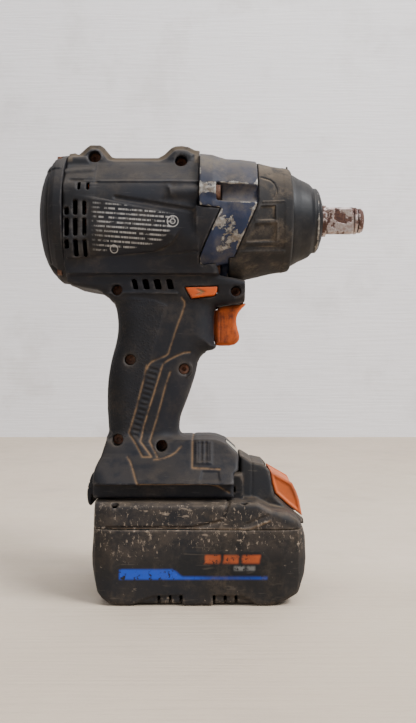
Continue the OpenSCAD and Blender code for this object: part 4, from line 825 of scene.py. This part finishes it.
# Dust and painted highlight along the top rim of the spine: the rounded rim is made paler partly for real
# dust and partly for the light that falls on it from above.
rim_dust_and_highlight = step_in(-2.5 - outline(X, Z, SPINE), 0.8) * step_in(205 - Z, 1.5)
round_screws = sum(np.exp(-((X - x) ** 2 + (Z - z) ** 2) / 9) for x, z, r, out in SCREWS[4:])
lower_dirt = np.clip(round_screws, 0, 1) * 0.5
masks = {
    "groove": groove_mask, "pad": pad_mask, "label": label_box,
    "dust_and_rim_highlight": np.clip(rim_dust_and_highlight + lower_dirt, 0, 1), "plate": step_in(outline(X, Z, PANEL) + 0.5, 0.5),
}
for name, mirror in (("right_housing", False), ("left_housing", True)):
    finish_piece(
        name + "_shell", half, body, "housing", [name], housing_paint, mirror, masks,
    )

# %% [markdown]
# ## Rear cap
# The cap closes the back of the barrel and holds the rear bearing. It is a turned dome,
# so a single profile makes it. Four screws sit in small notches round its rim.

# %% Cap
cap = Block((-79.8, -33, 146), (-63.9, 33, 213), 0.42)
dome = turned(cap, [
    (-79.1, -9), (-79.1, 0), (-78.9, 5), (-78.5, 9.8), (-77.7, 15), (-76.5, 19.6), (-75, 23.3),
    (-73.2, 26.3), (-70.8, 29.1), (-68.6, 31), (-64.6, 31.4), (-64.6, -9),
])
hollow = turned(cap, [
    (-76.6, -9), (-76.6, 10), (-74, 21), (-70.6, 26), (-68, 26.5), (-60, 26.5), (-60, -9),
])
cup = cut(rod(cap, "x", (0, AXIS), 12, -77.6, -69.5), rod(cap, "x", (0, AXIS), 9.5, -75.6, -60))
dome = dome + 0.5 * line(cap.x, cap.z, [(-71.6, 140), (-71.6, 220)], 1.0)
dome = dome - 0.45 * step_in(outline(cap.x, cap.z, [(-74.5, 200), (-66, 200), (-66, 207), (-71, 207)]), 0.8)
dome = join(cut(dome, hollow), both(cup, dome), 0.5)
for s in (-1, 1):
    for t in (-1, 1):
        spot = (s * 29.3 * math.cos(math.radians(62)), AXIS + t * 29.3 * math.sin(math.radians(62)))
        dome = cut(dome, rod(cap, "x", spot, 2.75, -90, -67), 0.5)
finish_piece("rear_cap_shell", cap, dome, "housing", ["rear_cap"], housing_paint)

# %% [markdown]
# ## Painted hammer case
# The case that holds the hammer is cast aluminium under dark blue paint. Its screws sit
# in lugs at the rear, and long troughs let the screwdriver reach them. Knocks chip the
# paint at edges and lugs first, so the bare patches are painted as a mask as well.

# %% Hammer case
case = Block((-13.4, -33.4, 146.4), (58.8, 33.4, 212.8), 0.45)
CX, CZ = case.x, case.z
BOOT_SIDE = [
    (26.2, 215), (25.6, 184), (24.9, 181.5), (14.8, 159.1), (12.2, 158.9), (12.2, 140), (48, 140), (48, 215),
]
LUG_CIRCLE = 28.2
LUGS = [
    (LUG_CIRCLE * math.cos(math.radians(a)), up * LUG_CIRCLE * math.sin(math.radians(a)))
    for a, up in ((17, 1), (61, -1))
]


def lugs(block, start, end, r, out=0.0):
    """Four rods along the drive axis, at the places of the case screws, or out beyond them."""
    all_four = 99.0
    for y, h in LUGS:
        for s in (-1, 1):
            spot = (s * y * (1 + out / 28.2), AXIS + h * (1 + out / 28.2))
            all_four = np.minimum(all_four, rod(block, "x", spot, r, start, end))
    return all_four


skirt = turned(case, [
    (-1.3, -9), (-1.3, 32.4), (4.8, 31.8), (7.8, 30.8), (11.4, 29.8), (18.4, 29.5), (26.6, 28.4), (26.6, -9),
])
skirt = cut(skirt, outline(CX, CZ, BOOT_SIDE), 0.4)
skirt = cut(skirt, lugs(case, 6.2, 40, 4.5, 1.6), 0.9)
skirt = cut(skirt, lugs(case, 6.2, 9, 4.25), 0.6)
ear_flat = outline(CX, CZ, EAR)
skirt = cut(skirt, ear_flat - 0.45, 0.3)
core = turned(case, [
    (-1.3, -9), (-1.3, 27.5), (20, 27.5), (26.4, 25.9),
    (33.3, 24.2), (38.6, 23.3), (42.4, 22.5), (43.6, 22.2),
    (47, 20.2), (50, 18.9), (52, 17.9), (53.4, 16.4), (53.9, 15.8), (55.6, 15.7), (56.8, 14.1), (57.4, 12.2),
    (58, 10.6), (58.2, 9.9), (58.2, -9),
])
core = cut(core, lugs(case, 6.2, 60, 4.5, 1.6), 0.8)
core = cut(core, lugs(case, 6.2, 9, 4.25), 0.6)
metal_case = join(skirt, core, 0.8)
metal_case = join(metal_case, lugs(case, -1.3, 6.2, 4.8), 0.9)
metal_case = join(metal_case, rod(case, "x", (0, AXIS), 25.5, -13, 0))
metal_case = cut(metal_case, turned(case, [
    (-20, -9), (-20, 23.4), (-4.3, 23.4), (-4.3, 21.8), (34, 21.8), (41, 20.6),
    (41, 10.1), (57, 10.1), (57, 8.6), (70, 8.6), (70, -9),
]))
metal_case = cut(metal_case, lugs(case, -3, 8, 2.15))
screw_way = rod(case, "y", (-10.3, 205.8), 1.8, -20, 20)
head_way = rod(case, "y", (-10.3, 205.8), 2.9, -20, -6.3)
metal_case = cut(metal_case, np.minimum(screw_way, head_way))
ring = np.exp(-((CX - 55.2) / 1.3) ** 2)
band = step_in(outline(CX, CZ, [(3, 182), (19, 182.5), (24.5, 181), (14.4, 159.4), (6, 157)]), 5)
brow = step_in(np.abs(CZ - 193.3) - 1.2, 2.0) * step_in(12 - CX, 5) * step_in(CX - 26, 1)
bare_lug = step_in(np.abs(CX - 2.5) - 3.8, 0.8) * step_in(
    np.minimum(np.abs(CZ - 190) - 3.0, np.abs(CZ - 153.5) - 2.7), 1.2,
)
bare = np.clip(0.6 * band + 0.56 * brow + 1.0 * bare_lug + 0.5 * ring, 0, 1)
# Painted shade mask: the nose in front of the boot wears the same blue paint as the case, and this mask
# darkens it to stand in for its shade and thins the dust there.
nose_painted_shade = step_in(41 - CX, 1.5)


def chipped_paint(name, blue, deep):
    """Blue paint over cast aluminium, chipped at edges and where the mask says so, with painted shade that
    darkens the nose.
    """
    p = Paint(name)
    fine, mid = p.noise(0.9, 6, 0.7), p.noise(4.2, 8, 0.66)
    colour = p.mix(p.span(p.noise(20, 4), 0.35, 0.65), blue, deep)
    # Painted shade: the nose is darkened to near black, though its paint is the same blue as the rest of the
    # case.
    colour = p.mix(
        p.mark("nose_painted_shade"), colour, p.mix(p.span(p.noise(9, 5), 0.3, 0.7), tone(10, 13, 20), tone(8, 10, 15)),
    )
    dirt = p.times(p.span(p.noise(8, 8, 0.7), 0.46, 0.68), 0.5)
    dirt = p.sum(dirt, p.times(p.span(p.mark("hollow"), 0.1, 0.7), 0.7), clamp=True)
    dirt = p.sum(
        dirt, p.times(p.span(p.facing_up(), 0.3, 0.95), p.span(p.noise(3), 0.3, 0.6, 0.25, 0.75)), clamp=True,
    )
    # Less dust on the nose, so its painted shade stays dark.
    dirt = p.times(dirt, p.span(p.mark("nose_painted_shade"), 0.2, 0.8, 1.0, 0.3))
    colour = p.mix(dirt, colour, tone(96, 88, 78))
    want = p.sum(p.times(p.mark("bare"), 0.34), p.times(p.span(p.mark("edge"), 0.1, 0.7), 0.22))
    chip = p.span(p.sum(mid, want), 0.735, 0.755)
    metal = p.mix(p.span(fine, 0.35, 0.6), tone(150, 147, 142), tone(104, 99, 94))
    metal = p.mix(p.times(p.span(p.noise(2.2, 6), 0.5, 0.62), 0.6), metal, tone(92, 78, 64))
    rim = p.span(p.sum(mid, want), 0.715, 0.735)
    colour = p.mix(p.times(rim, 0.6), colour, tone(24, 26, 32))
    colour = p.mix(chip, colour, metal)
    shine = p.sum(p.span(p.noise(12), 0.3, 0.7, 0.48, 0.66), p.times(dirt, 0.3), clamp=True)
    height = p.sum(p.times(fine, 0.35), p.times(chip, -0.9))
    return p.done(colour, shine, height, 0.00022, p.times(chip, 0.55), **{"Specular IOR Level": 0.28})


case_paint = chipped_paint("hammer case paint", tone(30, 40, 66), tone(22, 28, 46))
finish_piece(
    "hammer_case_shell", case, metal_case, "housing", ["hammer_case"], case_paint,
    masks={"bare": bare, "nose_painted_shade": nose_painted_shade},
)

# %% [markdown]
# ## Rubber boot
# The boot is a sleeve of thick rubber that keeps the nose from marking what it rests
# on. Its sides have sunk panels and a raised lip, and the whole of it is grey-brown with
# ground-in dust.

# %% Boot
boot = Block((11.6, -30.4, 149), (43.2, 30.4, 210), 0.42)
BX, BZ = boot.x, boot.z
sleeve = turned(boot, [
    (12, -9), (12, 29.3), (20, 29.3), (26.4, 27.9), (33.3, 26.2),
    (38, 25.5), (41.6, 24.6), (42.3, 23.8), (42.3, -9),
])
sleeve = both(sleeve, outline(BX, BZ, [(x + 0.35, z) for x, z in BOOT_SIDE]), 0.9)
for shape in (
    [(27.2, 181.4), (33.6, 182), (33.6, 175.9), (24.9, 175.3)],
    [(24.3, 173.2), (34.2, 174), (34.2, 166.4), (20.6, 165.6)],
):
    edge = outline(BX, BZ, shape)
    sleeve = sleeve + 0.7 * step_in(edge, 1.1) - 0.35 * step_in(np.abs(edge - 0.6) - 0.35, 0.5)
sleeve = sleeve - 0.7 * line(BX, BZ, [(17.5, 160.9), (28, 161.6), (38.3, 161.9)], 1.6)
sleeve = sleeve + 0.5 * line(BX, BZ, [(18, 163.4), (38, 164.2)], 1.0)
sleeve = sleeve - 0.4 * line(BX, BZ, [(28, 183.6), (38, 184.4)], 1.0)
sleeve = sleeve - 0.3 * step_in(38.4 - BX, 0.8)
sleeve = sleeve + 0.6 * line(BX, BZ, [(27.5, 196), (33, 194.5), (35, 189), (33, 186)], 1.0)
sleeve = join(sleeve, brick(boot, (41.0, -1.4, 202.6), (42.0, 0.0, 206.2), 0.45), 0.8)
inside = turned(boot, [
    (0, -9), (0, 27.6), (20, 27.6), (26.4, 26), (33.3, 24.3),
    (38.6, 23.4), (42.4, 22.6), (46, 22.3), (46, -9),
])
sleeve = cut(sleeve, inside)
finish_piece("boot_sleeve", boot, sleeve, "housing", ["front_boot"], rubber_paint)

# %% [markdown]
# ## Trigger, direction button and lamp
# The small controls are the only bright pieces. The trigger is hollowed for one finger,
# the direction button slides across the tool under a pressed-in chevron, and the lamp is
# a pale lens at the front of the foot.

# %% Trigger
knob = Block((-14.4, -9.4, 117), (22.9, 9.4, 140), 0.3)
paddle = extrude(outline(knob.x, knob.z, TRIGGER), knob.y, 8.9, 2.4)
paddle = paddle + 0.35 * line(knob.x, knob.z, [(8.4, 120), (8.4, 134)], 0.8)
paddle = join(paddle, brick(knob, (-1, -7.4, 120.4), (7, 7.4, 135), 0.5), 0.6)
stem = rod(knob, "x", (0, 127.9), 2.6, -14, 0)
seat = cut(rod(knob, "x", (0, 127.9), 5.4, -2, 4), rod(knob, "x", (0, 127.9), 2.6, -4, 6))
finish_piece(
    "trigger_knob", knob, join(cut(paddle, seat), stem), "trigger", ["trigger"],
    trigger_paint,
)

# %% Direction button
slide = Block((-8.6, -19.3, 139.4), (7.5, 19.3, 145.9), 0.28)
bar = extrude(outline(slide.x, slide.z, BUTTON), slide.y, 19, 0.6)
CHEVRON = [(-3.4, 144.3), (-1.4, 144.3), (1.6, 142.9), (-1.4, 141.5), (-3.4, 141.5), (-0.9, 142.9)]
mark = step_in(outline(slide.x, slide.z, CHEVRON), 0.5)
bar = bar + 0.55 * mark * np.clip(np.abs(slide.y) - 17.5, 0, 1)
finish_piece(
    "direction_bar", slide, bar, "direction", ["direction_button"], button_paint,
    masks={"groove": step_in(outline(slide.x, slide.z, CHEVRON), 0.4)},
)

# %% Lamp lens and foot bumper
lens = Block((10.9, -7.4, 59.4), (17.4, 7.4, 71.4), 0.25)
glass = extrude(outline(lens.x, lens.z, LENS), lens.y, 7, 0.5)
glass = glass + 0.35 * step_in(outline(lens.x, lens.z, LENS) + 1.0, 0.5)
finish_piece("lamp_lens", lens, glass, "housing", ["led_lens"], pale_plastic)

pad = Block((-56, -15.4, 40.3), (-47.5, 15.4, 57.8), 0.3)
BUMPER = soften([
    (-49.6, 46.6), (-52.6, 46), (-52.4, 41), (-54.6, 41.6), (-55.2, 45.6), (-55.1, 49), (-54.1, 53.1),
    (-52.6, 57), (-51, 57.3), (-48.6, 57.3), (-48.6, 46.9),
], 1)
block = extrude(outline(pad.x, pad.z, BUMPER), pad.y, 15, 1.4)
block = cut(block, brick(pad, (-52.9, -20, 30), (-40, 20, 46.7), 0.2), 0.3)
for z in (49.5, 52.5):
    block = block + 0.3 * line(pad.x, pad.z, [(-60, z), (-52, z)], 0.8)
finish_piece("foot_pad", pad, block, "housing", ["foot_bumper"], housing_paint)

# %% [markdown]
# ## Battery
# The battery is two tubs joined round the middle, with a tongue on top that slides
# into the foot. Its lower edge carries narrow wear slots, and a blue stripe runs along
# each side. The upper sides catch most knocks, so they are speckled with pale scuffs.

# %% Shapes of the battery
PACK = [
    (-49.5, 46), (-49.9, 42.5), (-50.5, 29.8), (-51.5, 21.3), (-51.2, 16.3), (-49.8, 10.6), (-48.1, 5.4),
    (-45.6, 2.6), (-42.3, 0.8), (-37, 0), (30.3, 0), (34.5, 1.0), (39.5, 3.0), (43.9, 5.2), (47, 12),
    (48.3, 19.3), (47.6, 30), (45.9, 34.8), (42.9, 38.6), (38.9, 41), (31.5, 42.6), (25, 46),
]
SHOULDER = [
    (-60, 60), (-60, -9), (60, -9), (60, 20), (48.4, 29), (46, 31), (39, 36), (30.5, 42), (22, 46.4),
    (14, 60),
]
CHEEK = [
    (47, 34), (47, 35.6), (40.3, 40.8), (34.2, 46.4), (32.8, 52), (31.9, 58.2), (29.4, 61), (23.4, 62.3),
    (18.7, 65.2), (17.8, 64.6), (17.8, 34),
]
LATCH = [(32, 58.2), (42.8, 52), (44.8, 48), (46.2, 43.9), (47.6, 36.2), (40.8, 41.4), (34.5, 47.1), (33, 52)]


def pack_body(block):
    """The closed outer shape of the battery, without its tongue."""
    x, y, z = block.x, np.abs(block.y), block.z
    wide = np.interp(z, [0, 33.6, 34.6, 46, 60], [38, 38, 37.6, 37, 37]).astype("f4")
    shape = extrude(outline(x, z, PACK), y, wide, 2.6)
    plan = outline(x[:, :, 0], y[:, :, 0], [
        (-51.6, -9), (-51.6, 28), (-48.6, 34), (-41, 38.1), (36, 38.1), (43.5, 35.5), (48.4, 28), (48.4, -9),
    ])[:, :, None]
    shape = both(shape, plan, 3)
    chamfer = (outline(x, z, SHOULDER) - (38 - y) * 1.3) / 1.64
    return both(shape, chamfer, 0.7)


WELL = [(-48, 34.4), (7, 34.4), (13, 48), (-48, 48)]
FIELD = [(-13.3, 16.9), (-8, 24.7), (26, 24.7), (29.9, 21.5), (29.9, 13.8), (-9.4, 13.8)]
STRIPE = [(-37.4, 12.1), (29.3, 12.1), (29.3, 13.4), (-8.9, 13.4), (-13.1, 16.8), (-37.4, 16.8)]

# %% Upper half of the battery
top = Block((-52, -38.6, 33.6), (49, 38.6, 66.2), 0.5)
TX, TY, TZ = top.x, top.y, top.z
tside = np.abs(TY)
plain = pack_body(top)
shape = plain + 0.9 * step_in(outline(TX, TZ, WELL), 1.6) * step_in(33.5 - tside, 2)
shape = shape + 0.9 * line(TX, TZ, [(-43, 34.9), (7.4, 34.9), (12.6, 47)], 1.5)
shape = shape - 0.5 * line(TX, TZ, [(18, 34.6), (22, 35.2), (30.6, 38.6)], 1.3)
shape = shape + 0.5 * line(TX, TZ, [(20, 36.8), (29.6, 40.6)], 1.4)
wide = np.interp(TZ, [46, 66], [20, 15.6]).astype("f4")
cheek = extrude(outline(TX, TZ, CHEEK), tside, wide, 1.3)
cheek = cheek + 0.3 * line(TX, TZ, [(23.6, 63), (23.2, 47)], 0.7)
shape = join(shape, cheek, 1.2)
tongue = brick(top, (-40, -24, 44), (18.8, 24, 57.4), 0.5)
shape = join(shape, tongue, 0.3)
inner = both(plain + 2.2, TZ - 43.9)
for s in (-1, 1):
    near, far = sorted((s * 21, s * 26))
    shape = cut(shape, brick(top, (-41, near, 49), (15.2, far, 51.6), 0.2), 0.2)
for y in (-12, -4, 4, 12):
    shape = cut(shape, brick(top, (-41, y - 1.1, 48.9), (-15, y + 1.1, 60)), 0.2)
shape = cut(shape, inner)
shape = cut(shape, brick(top, (-37.6, -21.6, 42), (1, 21.6, 55), 0.2))
pocket = extrude(outline(TX, TZ, [
    (32.4, 76), (29.3, 57.4), (29, 44), (33, 42), (38.8, 39.1), (46.4, 32.9), (60, 32.9), (60, 76),
]), TY, 15.2, 0.1)
shape = cut(shape, pocket, 0.3)
shape = cut(shape, brick(top, (2, -8.4, 47.6), (33, 8.4, 55.2)))
shape = cut(shape, brick(top, (2, -6.4, 51), (12.6, 6.4, 60)))
for s in (-1, 1):
    for x in (-39.5, 19):
        shape = cut(shape, rod(top, "z", (x, s * 34), 1.7, 43.4, 60), 0.3)
shape = both(shape, 34.28 - TZ)
scuffed = step_in(outline(TX, TZ, [(-60, 30), (24, 30), (46, 30), (30, 42), (16, 46.6), (-60, 46.6)]), 3)
band = step_in(outline(
    TX, TZ, [(23, 53), (30.5, 43), (39, 37), (47, 32), (49, 36), (40.1, 41), (33, 50), (31, 62), (19, 66)],
), 1)
tan = np.maximum(
    line(TX, TZ, [(22, 34.9), (30.6, 38.4)], 0.8), line(TX, TZ, [(-41.6, 34.5), (20, 34.5)], 0.6) * 0.7,
)
LIP = [(33.6, 47.2), (34.4, 46.9), (40.6, 41.2), (47.6, 35.9), (48, 33), (38, 33)]
across = np.abs(TY)
shape = join(shape, both(both(outline(TX, TZ, LIP), across - 18.2, 0.8), 15.4 - across), 0.5)
finish_piece(
    "battery_top", top, shape, "battery", ["battery_upper_case"], battery_paint,
    masks={"scuffed": scuffed * (1 - band), "groove": tan},
)

# %% Lower half of the battery
tub = Block((-52, -38.6, -0.6), (49, 38.6, 34.8), 0.5)
UX, UY, UZ = tub.x, tub.y, tub.z
uside = np.abs(UY)
plain = pack_body(tub)
shape = plain - 0.18 * step_in(outline(UX, UZ, FIELD), 0.5)
foot_wear = join(
    outline(UX, UZ, [(-33, -1), (-28, 2.5), (-22, 4.6), (-9, 4.8), (-9, -1)]),
    outline(UX, UZ, [(5, -1), (5, 4.8), (17, 4.6), (22, 2.5), (26, -1)]),
)
shape = shape + 0.8 * step_in(foot_wear, 1.2) * step_in(30 - uside, 3)
for x in (-19.5, -14.4, -9.5, 5.3, 10.3, 15.2):
    shape = cut(shape, both(brick(tub, (x - 0.6, -50, 0.8), (x + 0.6, 50, 4.9), 0.4), 34.6 - uside), 0.3)
shape = cut(shape, plain + 2.2)
shape = both(shape, UZ - 34.08)
scuffed = step_in(
    outline(UX, UZ, [(-60, 24), (-30, 21), (-14, 25), (34, 26), (60, 20), (60, 40), (-60, 40)]), 9,
)
low_wear = step_in(UZ - 3, 5) * 0.5
stripe = step_in(outline(UX, UZ, STRIPE), 0.25)
bars = 99.0
for left, right in ((1, 8.4), (9.4, 16.6), (17.6, 26.2)):
    bar = [(left, 19.4), (right - 0.5, 19.4), (right, 23.2), (left + 0.5, 23.2)]
    bars = np.minimum(bars, outline(UX, UZ, bar))
small_bars = np.minimum(
    outline(UX, UZ, [(14.4, 16), (19, 16), (19, 18), (14.4, 18)]),
    outline(UX, UZ, [(20, 16), (23.6, 16), (23.6, 18), (20, 18)]),
)
decal = step_in(outline(UX, UZ, FIELD), 0.3)
finish_piece(
    "battery_tub", tub, shape, "battery", ["battery_lower_case"], battery_paint,
    masks={
        "scuffed": np.clip(scuffed + low_wear + 0.12, 0, 1) * (1 - decal), "stripe": stripe, "decal": decal,
        "bars": step_in(bars, 0.3), "small_bars": step_in(small_bars, 0.3),
    },
)

# %% Latch
key = Block((6, -15.2, 35.4), (48.4, 15.2, 59.4), 0.35)
KX, KY, KZ = key.x, key.y, key.z
flat = outline(KX, KZ, LATCH)
press = extrude(flat, KY, 14.7, 0.8)
press = press + 0.55 * step_in(flat + 1.5, 0.6)
press = press + 0.5 * step_in(np.abs(KY) - 12.6, 0.6) * step_in(np.abs(flat) - 2.5, 1)
press = join(press, brick(key, (6.5, -8, 50.4), (35, 8, 54.6), 0.3), 0.5)
hook = extrude(outline(KX, KZ, [(6.5, 54), (6.5, 57.9), (8.5, 58.7), (12, 58.7), (12, 54)]), KY, 6, 0.2)
rim = step_in(np.abs(flat + 0.7) - 0.5, 0.4)
finish_piece(
    "latch_button", key, join(press, hook), "latch", ["battery_latch"], latch_paint,
    masks={"rim": rim},
)

# %% [markdown]
# The four screws that hold the two tubs together sit a little further in than in the
# drawing, because the moulded sides lean inwards. Each is one turned profile.

# %% Battery screws
def turned_solid(name, profile, spots, axis, body, replaced, paint, sides=28):
    """Screws and pins: a profile of (along, radius) points turned at each of the spots."""
    points, quads = [], []
    angle = np.arange(sides) * 2 * math.pi / sides
    for spot in spots:
        base = len(points)
        for along, r in profile:
            for a in angle:
                one, two = r * math.cos(a), r * math.sin(a)
                place = {"x": (along, one, two), "y": (one, along, two), "z": (one, two, along)}[axis]
                points.append([p + q for p, q in zip(place, spot)])
        for i in range(len(profile) - 1):
            for j in range(sides):
                k = (j + 1) % sides
                row, after = base + i * sides, base + (i + 1) * sides
                quads.append([row + j, row + k, after + k, after + j])
    piece = make_mesh(name, points, np.array(quads))
    piece.data.materials.append(paint)
    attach(piece, body)
    if replaced:
        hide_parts(*replaced)
    print(f"{name}: {len(quads)} faces")
    return piece


SCREW = [
    (20.5, 0.01), (20.5, 0.95), (41.9, 1.05), (42, 1.5), (43.1, 1.5), (43.3, 1.3), (43.3, 0.75), (42.5, 0.7),
    (42.5, 0.01),
]
turned_solid(
    "tub_screws", SCREW, [(x, s * 34, 0) for s in (-1, 1) for x in (-39.5, 19)], "z",
    "battery", ["battery_screws"], steel_paint,
)

# %% [markdown]
# ## Springs
# A coil spring is a round wire that follows a helix.

# %% Springs
def coil(name, body, replaced, axis, spots, ends, r, wire, turns):
    """A wire wound round one axis, at each of the spots."""
    points, quads = [], []
    steps, sides = 20 * turns, 8
    start, end = ends
    for spot in spots:
        base = len(points)
        for i in range(steps + 1):
            turn = 2 * math.pi * turns * i / steps
            along = start + wire + (end - start - 2 * wire) * i / steps
            for j in range(sides):
                a = 2 * math.pi * j / sides
                out = r + wire * math.cos(a)
                place = (along + wire * math.sin(a), out * math.cos(turn), out * math.sin(turn))
                if axis == "z":
                    place = (place[1], place[2], place[0])
                points.append([p + q for p, q in zip(place, spot)])
        for i in range(steps):
            for j in range(sides):
                k, row, after = (j + 1) % sides, base + i * sides, base + (i + 1) * sides
                quads.append([row + j, row + k, after + k, after + j])
    piece = make_mesh(name, points, np.array(quads))
    piece.data.materials.append(steel_paint)
    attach(piece, body)
    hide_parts(replaced)
    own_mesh(piece)
    print(f"{name}: {len(quads)} faces")


coil(
    "hammer_coil", "spindle", "hammer_spring", "x", [(0, 0, AXIS)], (0.1, 23.9), 15.085, 1.7, 5,
)
coil(
    "trigger_coil", "trigger", "trigger_spring", "x", [(0, 0, 128)], (-6.45, 3.9), 4.1, 0.45, 5,
)
coil(
    "latch_coils", "battery", "latch_springs", "z", [(22, s * 4.4, 0) for s in (-1, 1)],
    (47.65, 50.3), 2, 0.3, 3,
)

# %% [markdown]
# ## Light and camera
# A pale table and wall, one big soft light from above and in front, and a long-sided
# view from the tool's right, level with the grip.

# %% Stage
def plane(name, corners, paint):
    piece = make_mesh(
        name, [[c / MM for c in corner] for corner in corners], np.array([[0, 1, 2, 3]]), smooth=False,
    )
    piece.data.materials.append(paint)
    return piece


def wall_paint(name, base, alt):
    p = Paint(name)
    clouds = p.noise(260, 4)
    colour = p.mix(p.span(clouds, 0.3, 0.7), base, alt)
    ribs = p.span(p.noise(1.6, 3, 0.5, (0.05, 1.0, 1.0)), 0.35, 0.65)
    colour = p.mix(p.times(ribs, 0.16), colour, alt)
    stains = p.span(p.noise(40, 6, 0.6), 0.5, 0.72, 0.0, 0.35)
    colour = p.mix(stains, colour, p.mix(0.5, alt, tone(150, 140, 128)))
    rough = p.span(p.noise(8, 5), 0.3, 0.7, 0.6, 0.85)
    return p.done(colour, rough, p.sum(p.noise(9, 5, 0.6), p.times(ribs, 0.4)), 0.0006)


table_paint = wall_paint("table", tone(206, 191, 172), tone(190, 174, 155))
back_paint = wall_paint("wall", tone(238, 236, 238), tone(230, 228, 231))
plane("table_top", [(-4, -3, 0), (4, -3, 0), (4, 0.777, 0), (-4, 0.777, 0)], table_paint)
plane("back_wall", [(-4, 0.777, -1), (4, 0.777, -1), (4, 0.777, 3), (-4, 0.777, 3)], back_paint)


def lamp(name, where, target, size, power, colour=(1, 1, 1)):
    data = bpy.data.lights.new(name, "AREA")
    data.shape, data.size, data.size_y = "RECTANGLE", size[0], size[1]
    data.energy, data.color = power, colour
    piece = bpy.data.objects.new(name, data)
    bpy.context.scene.collection.objects.link(piece)
    piece.location = where
    piece.rotation_euler = (Vector(target) - Vector(where)).to_track_quat("-Z", "Y").to_euler()
    return piece


lamp("key", (0.8, -0.45, 1.0), (0, 0, 0.1), (0.55, 0.55), 26)
lamp("fill", (-0.7, -1.1, 0.7), (0, 0, 0.1), (1.2, 1.2), 6)
lamp("wall_light", (0, 0.1, 1.8), (0, 0.78, 0.5), (1.6, 0.6), 21)
world = bpy.data.worlds.new("room")
world.use_nodes = True
world.node_tree.nodes["Background"].inputs[0].default_value = (0.85, 0.87, 0.9, 1)
world.node_tree.nodes["Background"].inputs[1].default_value = 0.42
bpy.context.scene.world = world

camera = bpy.data.cameras.new("camera")
camera.sensor_fit, camera.sensor_width, camera.sensor_height = "AUTO", 36, 36
camera.lens = 808 / 723 * 36
view = bpy.data.objects.new("camera", camera)
view.location, view.rotation_euler = (0.0026, -0.400, 0.110), (math.pi / 2, 0, 0)
bpy.context.scene.collection.objects.link(view)
bpy.context.scene.camera = view
